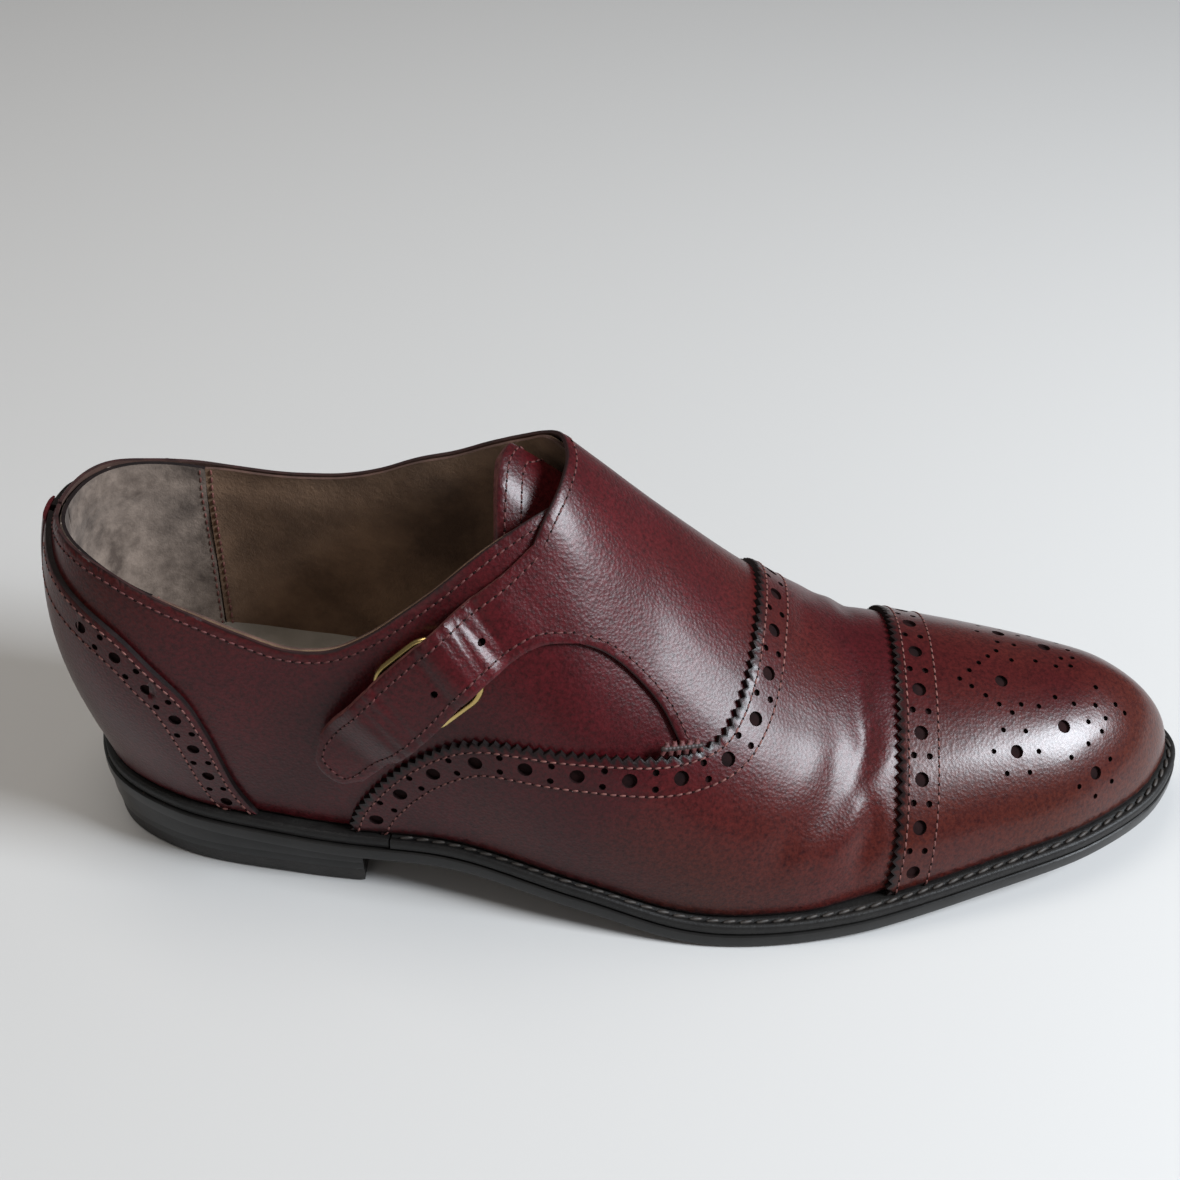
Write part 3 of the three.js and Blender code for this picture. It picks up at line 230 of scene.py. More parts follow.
def climb_at(u, share):
    u = np.asarray(u, float)
    whole = np.floor(u).astype(int)
    w = u - whole
    s = np.clip(share, 0, 1) * (len(SHARES) - 1)
    k = np.minimum(np.floor(s).astype(int), len(SHARES) - 2)
    f = s - k

    def row(i):
        return CLIMB[i % RING, k] * (1 - f) + CLIMB[i % RING, k + 1] * f

    return row(whole) * (1 - w) + row(whole + 1) * w


SPAN = {-1: HEEL_BACK - TOE_TIP, 1: RING - HEEL_BACK + TOE_TIP}
_steps = {s: np.arange(SPAN[s] + 1) for s in SPAN}
_xs = {s: on_ring(FEATHER, TOE_TIP - s * _steps[s])[:, 0] for s in SPAN}


def steps_to(x, side):
    return np.interp(-x, -_xs[side], _steps[side])


HEEL_TURN = {s: steps_to(HEEL_TURN_Q, s) for s in SPAN}
TOE_TURN = {s: steps_to(TOE_TURN_Q, s) for s in SPAN}


def ring_at(q, side):
    q = np.asarray(q, float)
    back = np.clip((HEEL_TURN_Q - q) / (HEEL_TURN_Q - BACK_Q), 0, 1)
    front = np.clip((q - TOE_TURN_Q) / (TIP_Q - TOE_TURN_Q), 0, 1)
    steps = steps_to(np.clip(q, HEEL_TURN_Q, TOE_TURN_Q), side)
    steps = np.where(q <= HEEL_TURN_Q, HEEL_TURN[side] + (SPAN[side] - HEEL_TURN[side]) * back, steps)
    steps = np.where(q >= TOE_TURN_Q, TOE_TURN[side] * (1 - front), steps)
    return TOE_TIP - side * steps


# Pattern points are (q, g): q runs along the shoe, g is -1 on the outer feather line, 0 on the ridge
# and 1 on the inner feather line, as a share of the girth.
def ring_and_climb(pattern):
    q, g = pattern[..., 0], pattern[..., 1]
    u = np.where(g < 0, ring_at(q, -1), ring_at(q, 1))
    return u, climb_at(u, 1 - np.minimum(np.abs(g), 1))


def on_pattern(pattern, r=0.0):
    u, t = ring_and_climb(pattern)
    p = last_point(u, t)
    return p + last_normal(u, t) * np.broadcast_to(r, p.shape[:-1])[..., None]


def normal_at(pattern):
    return last_normal(*ring_and_climb(pattern))


def chart(pattern):
    """The upper laid flat: girth lines side by side, fanned out round the heel and the toe."""
    q, g = pattern[..., 0], pattern[..., 1]
    u = np.where(g < 0, ring_at(q, -1), ring_at(q, 1))
    foot = on_ring(FEATHER, u)
    station = ridge_station(foot[..., 0])
    way = unit(np.stack([foot[..., 0] - station, foot[..., 1] - ridge_sideways(station)], -1))
    distance = np.abs(g) * on_ring(GIRTH, u)
    return np.stack([station + way[..., 0] * distance, way[..., 1] * distance], -1)


def shift(pattern, move):
    """Pattern points moved by short vectors along the surface."""
    q, g = pattern[:, 0], pattern[:, 1]
    step_q, step_g = 0.25, 0.002
    high_g, low_g = np.minimum(g + step_g, 1), np.maximum(g - step_g, -1)
    high_q, low_q = np.minimum(q + step_q, TIP_Q), np.maximum(q - step_q, BACK_Q)
    dq = on_pattern(np.stack([high_q, g], -1)) - on_pattern(np.stack([low_q, g], -1))
    dg = on_pattern(np.stack([q, high_g], -1)) - on_pattern(np.stack([q, low_g], -1))
    dq = dq / (high_q - low_q)[:, None]
    dg = dg / (high_g - low_g)[:, None]
    a, b, c = (dq * dq).sum(-1) + 1e-4, (dq * dg).sum(-1), (dg * dg).sum(-1)
    x, y = (dq * move).sum(-1), (dg * move).sum(-1)
    det = np.maximum(a * c - b * b, 1e-6)
    moved = np.stack([q + (c * x - b * y) / det, g + (a * y - b * x) / det], -1)
    moved[:, 1] = moved[:, 1].clip(-1, 1)
    return moved


def path(points, spacing):
    """Evenly spaced pattern points along a smooth pattern line."""
    points = np.asarray(points, float)
    if len(points) == 2:
        dense = points[0] + (points[1] - points[0]) * np.linspace(0, 1, 200)[:, None]
    else:
        dense = spline(points * (1, 100), steps=40) / (1, 100)
    real = on_pattern(dense)
    total = np.linalg.norm(np.diff(real, axis=0), axis=1).sum()
    return even(dense, max(int(round(total / spacing)), 1), real)


def beside(line, distance):
    """The line moved sideways along the surface, to the right of its own way seen from outside."""
    real = on_pattern(line)
    way = unit(np.gradient(real, axis=0))
    return shift(line, np.cross(way, normal_at(line)) * np.broadcast_to(distance, len(line))[:, None])


def gimped(points, pitch, depth):
    """A pinked edge: even teeth along a pattern line."""
    line = path(points, pitch / 2)
    teeth = np.where(np.arange(len(line)) % 2, 0.5, -0.5) * depth
    teeth[[0, -1]] = 0
    return beside(line, teeth)


def ring_round(centre, radius, count):
    centre = np.asarray(centre, float)[None]
    n = normal_at(centre)[0]
    first = unit(np.cross((0.1, 1.0, 0.2), n))
    second = np.cross(n, first)
    angle = np.linspace(0, 2 * math.pi, count, endpoint=False)[:, None]
    return shift(np.repeat(centre, count, 0), radius * (np.cos(angle) * first + np.sin(angle) * second))


# ------------------------------------------------------------------ levels and pattern lines
LAYER_GAP = 0.6
LEATHER = 1.1
OVERLAY = -0.2
BASE = OVERLAY - LAYER_GAP - LEATHER
UNDERLAY = BASE - LAYER_GAP - LEATHER
LINING = UNDERLAY - LAYER_GAP - 1.0
TOP = OVERLAY + LEATHER
SEAM_Q = BACK_Q + 0.4
OUTER_COLLAR = [
    (SEAM_Q, -0.49), (-136, -0.468), (-124, -0.478), (-112, -0.513), (-102, -0.545), (-92, -0.577),
    (-82, -0.6), (-72, -0.592), (-63, -0.553), (-54, -0.492), (-45, -0.42), (-32, -0.295), (-20, -0.18),
]
INNER_COLLAR = [
    (SEAM_Q, 0.49), (-136, 0.502), (-124, 0.53), (-110, 0.548), (-98, 0.545), (-87, 0.533), (-76, 0.512),
    (-66, 0.473), (-55, 0.405), (-44, 0.335), (-34, 0.236), (-26, 0.149), (-20, 0.06), (-16.5, -0.03),
    (-18, -0.12), (-22, -0.22),
]
VAMP_EDGE = [
    (-71, -1), (-68, -0.94), (-58.6, -0.842), (-46, -0.757), (-35.7, -0.71), (-16, -0.661), (3.4, -0.607),
    (13, -0.568), (21.5, -0.508), (25.6, -0.435), (28.8, -0.33), (31.4, -0.16), (32.6, 0), (31.8, 0.16),
    (29, 0.33), (25.6, 0.435), (20, 0.515), (8, 0.59), (-12, 0.66), (-33, 0.72), (-48, 0.79), (-58, 0.86),
    (-66, 0.94), (-69, 1),
]
FOLD_TOP, FOLD_BOTTOM = (-24, -0.27), (-12.6, -0.417)
STRAP_UPPER = [FOLD_TOP, (-30.8, -0.352), (-40.7, -0.445), (-50, -0.524), (-60, -0.606), (-69, -0.687), (-74.5, -0.745)]
STRAP_LOWER = [
    FOLD_BOTTOM, (-21.1, -0.452), (-30.8, -0.535), (-36.5, -0.59), (-45, -0.683), (-56, -0.775), (-65, -0.842),
]
STRAP_TIP = [(-65, -0.842), (-71, -0.852), (-76, -0.81), (-74.5, -0.745)]
APRON_FRONT = [(13, -0.545), (8, -0.475), (1, -0.432), (-6, -0.414), FOLD_BOTTOM]
CAP_EDGE = [(66.5, -1), (68.4, -0.5), (69, 0), (68.4, 0.5), (66.5, 1)]
FOXING_EDGE = [
    (-95, 1), (-99, 0.94), (-103, 0.8), (-106.5, 0.72), (-112.7, 0.655), (-119, 0.6), (-130, 0.552), (-145, 0.512),
]
CREASES = [  # two ends on the pattern, depth, half width
    ((62, -0.36), (47, -0.80), 0.55, 2.6), ((57, -0.10), (60, -0.42), 0.35, 2.4),
    ((54, -0.46), (36, -0.84), 0.40, 3.0), ((58, 0.12), (60, 0.5), 0.40, 2.6),
    ((50, 0.3), (44, 0.8), 0.40, 3.0), ((45, -0.16), (47, 0.22), 0.22, 2.8),
    ((60, -0.62), (59, -0.9), 0.45, 2.2),
]
GIRTH_AT_STRAP = 135.0


def _flat(p):
    return np.array([p[..., 0], p[..., 1] * GIRTH_AT_STRAP]).T


_fold_middle = (_flat(np.array(FOLD_TOP)) + _flat(np.array(FOLD_BOTTOM))) / 2
STRAP_WAY = unit(_flat(np.array((-73.5, -0.8))) - _fold_middle)
BUCKLE_LENGTH, BUCKLE_WIDTH, WIRE = 23.0, 20.4, 1.0
BUCKLE_FRONT = np.array((-40.6, -0.549))
STRAP_RISE, STRAP_TIP_RISE, STRAP_RAMP = 5.2, 1.5, 15


def strap_along(p):
    return (_flat(p) - _fold_middle) @ STRAP_WAY


BUCKLE_START = float(strap_along(BUCKLE_FRONT))


def overlay_level(p):
    return np.full(len(p), OVERLAY)


def vamp_level(p):
    level = OVERLAY + (BASE - OVERLAY) * ease(p[:, 0], 45, 64)
    flat = chart(p)
    for a, b, depth, width in CREASES:
        ends = chart(np.array([a, b]))
        way = ends[1] - ends[0]
        s = ((flat - ends[0]) @ way) / (way @ way)
        off = (flat - ends[0]) @ np.array([-way[1], way[0]]) / np.linalg.norm(way)
        off = off - 1.2 * np.sin(s * 5)
        fade = ease(s, -0.25, 0.3) * (1 - ease(s, 0.7, 1.25))
        level = level - fade * 1.7 * depth * (np.exp(-((off / width) ** 2)) - 0.6 * np.exp(-(((off - 4.5) / 3.2) ** 2)))
    return level


def outer_quarter_level(p):
    return BASE + (UNDERLAY - BASE) * ease(p[:, 0], -16, 8)


def apron_level(p):
    outer = 1 - ease(p[:, 1], -0.14, 0.1)
    return BASE + (OVERLAY - BASE) * outer * (1 - ease(p[:, 0], -16, 8))


STRAP_CREASES = [  # place along the strap, depth, slant
    (BUCKLE_START - 7, 0.5, 0.12), (BUCKLE_START - 10.5, 0.4, -0.1), (BUCKLE_START - 4.5, 0.4, 0.05),
    (BUCKLE_START - 14, 0.3, 0.1), (BUCKLE_START + 20, 0.4, 0.1), (BUCKLE_START + 23, 0.35, -0.08),
    (BUCKLE_START + 26.5, 0.3, 0.1), (BUCKLE_START + 5, 0.3, 0.1),
]


def strap_level(p):
    s = strap_along(p)
    climb = ease(s, BUCKLE_START - STRAP_RAMP, BUCKLE_START - 2)
    fall = ease(s, BUCKLE_START + BUCKLE_LENGTH + 4, BUCKLE_START + BUCKLE_LENGTH + STRAP_RAMP + 2)
    level = OVERLAY + (STRAP_RISE - OVERLAY) * climb - (STRAP_RISE - STRAP_TIP_RISE) * fall
    level = level + 0.75 * np.exp(-(((s - BUCKLE_START - 1) / 3.2) ** 2))
    level = level + 0.45 * np.exp(-(((s - BUCKLE_START - BUCKLE_LENGTH + 1) / 4) ** 2))
    across = (_flat(p) - _fold_middle) @ np.array([-STRAP_WAY[1], STRAP_WAY[0]])
    for centre, depth, skew in STRAP_CREASES:
        level = level - depth * np.exp(-(((s - centre - skew * across) / 1.1) ** 2))
    return level


def strap_top(p):
    """The leather's outer face: flush with the apron at the fold, domed over its width."""
    s = strap_along(p)
    across = (_flat(p) - _fold_middle) @ np.array([-STRAP_WAY[1], STRAP_WAY[0]])
    dome = 0.5 * np.clip(1 - (across / 9.0) ** 2, 0, 1) * ease(s, 6, 16)
    return strap_level(p) + 1.1 + 1.0 * ease(s, 0, 24) + dome


TONGUE_ROOT_Q, TONGUE_TOP_Q = 38, -35


def tongue_level(p):
    return np.full(len(p), UNDERLAY - LAYER_GAP - LEATHER)


def tongue_place(pattern, r=0.0):
    """The tongue hangs away from the apron, further towards its head."""
    drop = np.maximum(TONGUE_ROOT_Q - pattern[..., 0], 0) * 0.125
    place = on_pattern(pattern, r) - normal_at(pattern) * np.minimum(drop, 2.5)[..., None]
    return place + np.maximum(drop - 2.5, 0)[..., None] * np.array((0.25, 0.0, -0.97))


# The offset between the last's own centre line and the part's origin.
SHIFT = np.array([
    (PLAN[:, 0].max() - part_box("outsole")[1][0] / MM),
    (PLAN[:, 1].min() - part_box("outsole")[0][1] / MM),
    0.0,
])


def metres(points):
    return (np.asarray(points) - SHIFT) * MM


# ------------------------------------------------------------------ making pieces
def settings():
    return bpy.context.scene.shoe_settings


def new_piece(name, verts, faces, materials, indices=None, attributes=None, angle=40, scaled=False):
    mesh = bpy.data.meshes.new(name)
    mesh.from_pydata(np.asarray(verts if scaled else metres(verts)).tolist(), [], [tuple(map(int, f)) for f in faces])
    for material in materials:
        mesh.materials.append(material)
    if indices is not None:
        mesh.polygons.foreach_set("material_index", np.asarray(indices, np.int32))
    for key, values in (attributes or {}).items():
        layer = mesh.attributes.new(key, "FLOAT", "POINT")
        layer.data.foreach_set("value", np.asarray(values, np.float32))
    obj = bpy.data.objects.new(name, mesh)
    bpy.context.scene.collection.objects.link(obj)
    bm = bmesh.new()
    bm.from_mesh(mesh)
    bmesh.ops.remove_doubles(bm, verts=bm.verts, dist=5e-6)
    bmesh.ops.recalc_face_normals(bm, faces=bm.faces)
    bm.to_mesh(mesh)
    bm.free()
    smooth(obj, angle)
    return obj


def smooth(obj, angle=40):
    bpy.ops.object.select_all(action="DESELECT")
    obj.select_set(True)
    bpy.context.view_layer.objects.active = obj
    bpy.ops.object.shade_smooth_by_angle(angle=math.radians(angle))


def finish_piece(obj, body, slot, *nodes):
    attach(obj, body)
    if nodes:
        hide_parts(*nodes)
    return obj


def inside(polygon, points):
    """Which points lie inside a closed polygon."""
    x, y = points[:, 0][:, None], points[:, 1][:, None]
    x0, y0 = polygon[:, 0], polygon[:, 1]
    x1, y1 = np.roll(x0, -1), np.roll(y0, -1)
    crosses = (y0 > y) != (y1 > y)
    with np.errstate(divide="ignore", invalid="ignore"):
        at = (x1 - x0) * (y - y0) / (y1 - y0) + x0
    return (crosses & (x < at)).sum(1) % 2 == 1


def thinned(flat, spacing):
    """Indices of about one point in each hexagonal cell."""
    row = np.round(flat[:, 1] / (spacing * 0.866)).astype(int)
    offset = 0.5 * (row % 2)
    col = np.round(flat[:, 0] / spacing - offset).astype(int)
    away = np.hypot(flat[:, 0] - (col + offset) * spacing, flat[:, 1] - row * spacing * 0.866)
    order = np.argsort(away)
    _, first = np.unique(np.stack([row, col], -1)[order], axis=0, return_index=True)
    return order[first]


_grid_q = np.arange(BACK_Q, TIP_Q + 0.1, 1.1)
_grid_g = np.linspace(-1, 1, 221)
GRID = np.stack(np.meshgrid(_grid_q, _grid_g), -1).reshape(-1, 2)
GRID_FLAT = chart(GRID)


def triangulate(outline_flat, ring_flats, points_flat):
    """Triangles over outline, hole rings and inner points, and which of them fill a hole."""
    loops = [outline_flat, *ring_flats]
    verts = np.vstack([*loops, points_flat])
    edges, owner, start = [], np.full(len(verts), -1), 0
    for k, loop in enumerate(loops):
        n = len(loop)
        edges += [(start + i, start + (i + 1) % n) for i in range(n)]
        owner[start:start + n] = k
        start += n
    made = delaunay_2d_cdt([Vector(v) for v in verts.tolist()], edges, [], 0, 1e-6)
    source = np.array([o[0] if o else -1 for o in made[3]])
    faces = np.array([f for f in made[2] if len(f) == 3])
    faces = source[faces]
    faces = faces[(faces >= 0).all(1)]
    faces = faces[inside(outline_flat, verts[faces].mean(1))]
    owners = owner[faces]
    hole = (owners[:, 0] > 0) & (owners[:, 0] == owners[:, 1]) & (owners[:, 0] == owners[:, 2])
    return faces, hole, owner


def inset_rim(outline, flat, border):
    """Pattern points a little inside a closed outline."""
    x, y = flat.T
    turn = np.sign((x * np.roll(y, -1) - np.roll(x, -1) * y).sum())
    real = on_pattern(outline)
    way = unit(np.roll(real, -1, 0) - np.roll(real, 1, 0))
    moved = shift(outline, turn * border * np.cross(normal_at(outline), way))
    at = chart(moved)
    clear = np.linalg.norm(at[:, None] - flat[None], axis=-1).min(1) > 0.5 * border
    return moved[clear & inside(flat, at)]


def leather(name, outline, level, top, holes=(), spacing=2.4, pit=0.9, materials=(), dark=1.0, border=0.6,
            ink_and_shade=0.0, joined=None, place=on_pattern):
    """A leather piece cut to a closed outline of pattern points and laid on the last. level and top
    give its two faces, and holes are (q, g, radius); each hole's wall and its floor, pit below the top,
    take the fourth material, near-black painted shade in the hole. The rim is rounded and inked over the
    border's width, but not along the line where it is joined to the next piece; the inset ring's
    darkening widens that band, which along gimped edges is ink and painted shade."""
    outline = np.asarray(outline, float)
    rings = [ring_round(h[:2], h[2], 14 if h[2] > 1.3 else 8) for h in holes]
    flat, ring_flats = chart(outline), [chart(r) for r in rings]
    near = (GRID_FLAT > flat.min(0)).all(1) & (GRID_FLAT < flat.max(0)).all(1)
    near &= (GRID[:, 0] > outline[:, 0].min() - 1) & (GRID[:, 0] < outline[:, 0].max() + 1)
    candidates = np.flatnonzero(near)
    candidates = candidates[thinned(GRID_FLAT[candidates], spacing)]
    candidates = candidates[inside(flat, GRID_FLAT[candidates])]
    points = GRID_FLAT[candidates]
    reach = np.linalg.norm(points[:, None] - flat[None], axis=-1).min(1)
    keep = reach > 0.45 * spacing
    for h, ring in zip(holes, ring_flats):
        keep &= np.linalg.norm(points - ring.mean(0), axis=-1) > h[2] + 0.45 * spacing
    within = inset_rim(outline, flat, border)
    inner = np.vstack([within, GRID[candidates[keep]]])
    faces, hole, owner = triangulate(flat, ring_flats, chart(inner))
    pattern = np.vstack([outline, *rings, inner])
    count, edge = len(pattern), len(outline)
    ring_ids = np.flatnonzero(owner > 0)
    low, high = level(pattern), top(pattern)
    loose = np.ones(edge)
    if joined is not None:
        a, b = np.asarray(joined, float) * (1, GIRTH_AT_STRAP)
        at = outline * (1, GIRTH_AT_STRAP)
        share = np.clip((at - a) @ (b - a) / ((b - a) @ (b - a)), 0, 1)[:, None]
        loose = ease(np.linalg.norm(at - a - share * (b - a), axis=1), 0.3, 2.5)
    high[:edge] -= 0.28 * loose
    verts = np.vstack([place(pattern, high), place(pattern, low), place(pattern[ring_ids], high[ring_ids] - pit)])
    pit_of = np.full(count, -1)
    pit_of[ring_ids] = 2 * count + np.arange(len(ring_ids))
    polygons, indices = [], []
    # Hole floors and hole walls take material 3, near-black: painted shade inside each punched hole.
    for group, index in ((faces[~hole], 0), (faces[:, ::-1] + count, 1), (pit_of[faces[hole]], 3)):
        polygons += group.tolist()
        indices += [index] * len(group)
    for i in range(edge):
        j = (i + 1) % edge
        polygons.append((i, count + i, count + j, j))
        indices.append(2)
    start = edge
    for ring in rings:
        n = len(ring)
        for i in range(n):
            a, b = start + i, start + (i + 1) % n
            polygons.append((a, b, pit_of[b], pit_of[a]))
            indices.append(3)
        start += n
    rim = np.zeros(len(verts))
    rim[:edge] = dark * loose
    # The inset ring's darkening widens the edge's dark band: ink, and painted shade beside gimped teeth.
    rim[count - len(inner):count - len(inner) + len(within)] = ink_and_shade
    rim[2 * count:] = 1
    return new_piece(name, verts, polygons, materials, indices, {"rim": rim})


def capsule():
    """A short thread laid along X: unit half length and unit radius."""
    sides, stations = 6, [(-0.72, 0.75), (0.0, 1.0), (0.72, 0.75)]
    verts = [(-1, 0, 0)]
    for x, r in stations:
        verts += [(x, r * math.cos(a), r * math.sin(a)) for a in np.linspace(0, 2 * math.pi, sides, endpoint=False)]
    verts.append((1, 0, 0))
    faces, end = [], len(verts) - 1
    for k in range(sides):
        n = (k + 1) % sides
        faces.append((0, 1 + n, 1 + k))
        for s in range(len(stations) - 1):
            a = 1 + s * sides
            faces.append((a + k, a + n, a + sides + n, a + sides + k))
        faces.append((end, 1 + 2 * sides + k, 1 + 2 * sides + n))
    return np.array(verts, float), faces


CAPSULE_VERTS, CAPSULE_FACES = capsule()


def threads(name, groups):
    """Stitches and needle holes, the holes drawn as near-black dots of painted shade: each group is
    (places, half length, radius, slant, material), and places are lists of (points, ways, normals)."""
    verts, faces, indices, start = [], [], [], 0
    for index, (places, half_length, radius, slant, _) in enumerate(groups):
        points, ways, normals = (np.vstack(v) for v in zip(*places))
        across = unit(np.cross(normals, ways))
        ways = unit(ways + np.reshape(slant, (-1, 1)) * across)
        across = unit(np.cross(normals, ways))
        local = CAPSULE_VERTS * (half_length, radius, radius)
        laid = (
            points[:, None] + local[None, :, :1] * ways[:, None]
            + local[None, :, 1:2] * across[:, None] + local[None, :, 2:] * normals[:, None]
        )
        verts.append(laid.reshape(-1, 3))
        faces += [tuple(i + start + len(local) * k for i in f) for k in range(len(points)) for f in CAPSULE_FACES]
        indices += [index] * (len(points) * len(CAPSULE_FACES))
        start += len(verts[-1])
    mesh = bpy.data.meshes.new(name)
    mesh.from_pydata(metres(np.vstack(verts)).tolist(), [], faces)
    for group in groups:
        mesh.materials.append(group[4])
    mesh.polygons.foreach_set("material_index", indices)
    mesh.polygons.foreach_set("use_smooth", [True] * len(faces))
    obj = bpy.data.objects.new(name, mesh)
    bpy.context.scene.collection.objects.link(obj)
    return obj


def sewn(name, lines, top, thread, hole, place=None, slant=0.1):
    """Rows of stitches sunk in the leather, with a needle hole between each two, a near-black dot of painted shade."""
    rows = [seam(line, top, sink=0.02, place=place) for line in lines]
    # Needle holes: flat near-black capsules on the leather, painted shade of each hole.
    holes = [seam(line, top, sink=0.12, ends=0.0, place=place) for line in lines]
    return threads(name, [(rows, 0.86, 0.3, slant, thread), (holes, 0.42, 0.36, 0.0, hole)])


def seam(line, top, pitch=None, sink=0.06, ends=0.5, place=None):
    """Places of the stitches along a pattern line, given as dense pattern points or as corners."""
    pitch = pitch or settings().stitch_pitch / MM
    place = place or on_pattern
    dense = np.asarray(line, float)
    if len(dense) < 40:
        dense = path(dense, 1.0)
    real = place(dense, top(dense))
    length = np.r_[0, np.cumsum(np.linalg.norm(np.diff(real, axis=0), axis=1))]
    count = max(int(length[-1] / pitch), 2)
    at = (np.arange(count) + ends) * length[-1] / count
    spot = np.stack([np.interp(at, length, dense[:, k]) for k in range(2)], -1)
    ahead = np.stack([np.interp(at + 0.4, length, dense[:, k]) for k in range(2)], -1)
    behind = np.stack([np.interp(at - 0.4, length, dense[:, k]) for k in range(2)], -1)
    return (
        place(spot, top(spot) - sink),
        unit(place(ahead, top(ahead)) - place(behind, top(behind))),
        normal_at(spot),
    )


def band_holes(edge, distance, pitch, big, small, spread, first=0.5):
    """Large holes along a line beside an edge, with a pair of small ones between each two."""
    line = beside(path(edge, 1.0), distance)
    real = on_pattern(line)
    length = np.r_[0, np.cumsum(np.linalg.norm(np.diff(real, axis=0), axis=1))]
    count = int(length[-1] / pitch)
    step = length[-1] / count

    def spot(at, side):
        moved = beside(line, side) if side else line
        return [float(np.interp(at, length, moved[:, k])) for k in range(2)]

    holes = []
    for k in range(count):
        holes.append((*spot((k + first) * step, 0), big))
        if k < count - 1:
            holes += [(*spot((k + first + 0.5) * step, s * spread), small) for s in (-1, 1)]
    return holes


# ------------------------------------------------------------------ materials
def node_tree(name):
    material = bpy.data.materials.get(name)
    if material:
        return material, None, None
    material = bpy.data.materials.new(name)
    material.use_nodes = True
    return material, material.node_tree.nodes, material.node_tree.links


def add(nodes, kind, values=(), **attributes):
    node = nodes.new(kind)
    for key, value in attributes.items():
        setattr(node, key, value)
    for key, value in dict(values).items():
        node.inputs[key].default_value = value
    return node


def mix(nodes, links, factor, a, b):
    """A colour mix; a and b are colours or sockets."""
    node = add(nodes, "ShaderNodeMix", data_type="RGBA")
    links.new(factor, node.inputs[0])
    for socket, value in ((node.inputs[6], a), (node.inputs[7], b)):
        if isinstance(value, bpy.types.NodeSocket):
            links.new(value, socket)
        else:
            socket.default_value = (*value, 1)
    return node.outputs[2]


def ramp(nodes, links, source, low, high):
    node = add(nodes, "ShaderNodeMapRange", {"From Min": low, "From Max": high})
    links.new(source, node.inputs["Value"])
    return node.outputs["Result"]


def leather_material(name, light, dark, roughness=0.38, grain=0.35, coat=0.25, brown=None, rim=(0.010, 0.005, 0.005)):
    """Dyed leather with cloudy polish, fine creased grain and dark cut edges; the rim attribute's dark band is ink on
    the edges and, beside gimped edges, painted shade.
    """
    material, nodes, links = node_tree(name)
    if nodes is None:
        return material
    shader = nodes["Principled BSDF"]
    place = add(nodes, "ShaderNodeTexCoord").outputs["Object"]
    cloud = add(nodes, "ShaderNodeTexNoise", {"Scale": 24, "Detail": 4, "Roughness": 0.6})
    links.new(place, cloud.inputs["Vector"])
    colour = mix(nodes, links, ramp(nodes, links, cloud.outputs["Fac"], 0.35, 0.68), dark, light)
    if brown:
        patch = add(nodes, "ShaderNodeTexNoise", {"Scale": 11, "Detail": 2, "Roughness": 0.5})
        links.new(place, patch.inputs["Vector"])
        colour = mix(nodes, links, ramp(nodes, links, patch.outputs["Fac"], 0.48, 0.76), colour, brown)
    speck = add(nodes, "ShaderNodeTexNoise", {"Scale": 900, "Detail": 3, "Roughness": 0.7})
    links.new(place, speck.inputs["Vector"])
    colour = mix(nodes, links, ramp(nodes, links, speck.outputs["Fac"], 0.62, 0.25), colour, tuple(c * 0.4 for c in dark))
    edge = add(nodes, "ShaderNodeAttribute", attribute_name="rim")
    # rim darkens the colour: ink on cut edges, widened beside gimped edges as painted shade.
    colour = mix(nodes, links, ramp(nodes, links, edge.outputs["Fac"], 0.05, 0.55), colour, rim)
    links.new(colour, shader.inputs["Base Color"])
    cells = add(nodes, "ShaderNodeTexVoronoi", {"Scale": 1150}, feature="F1")
    links.new(place, cells.inputs["Vector"])
    fine = add(nodes, "ShaderNodeTexNoise", {"Scale": 1500, "Detail": 3, "Roughness": 0.7})
    links.new(place, fine.inputs["Vector"])
    broad = add(nodes, "ShaderNodeTexNoise", {"Scale": 90, "Detail": 3, "Roughness": 0.55, "Distortion": 1.5})
    links.new(place, broad.inputs["Vector"])
    height = add(nodes, "ShaderNodeMath", operation="ADD")
    links.new(cells.outputs["Distance"], height.inputs[0])
    links.new(fine.outputs["Fac"], height.inputs[1])
    soft = add(nodes, "ShaderNodeMath", {1: 1.1}, operation="MULTIPLY_ADD")
    links.new(broad.outputs["Fac"], soft.inputs[0])
    links.new(height.outputs[0], soft.inputs[2])
    bump = add(nodes, "ShaderNodeBump", {"Strength": grain, "Distance": 0.00022})
    links.new(soft.outputs[0], bump.inputs["Height"])
    links.new(bump.outputs["Normal"], shader.inputs["Normal"])
    shader.inputs["Roughness"].default_value = roughness
    shader.inputs["Specular IOR Level"].default_value = 0.2
    shader.inputs["Coat Weight"].default_value = coat
    shader.inputs["Coat Roughness"].default_value = 0.2
    return material


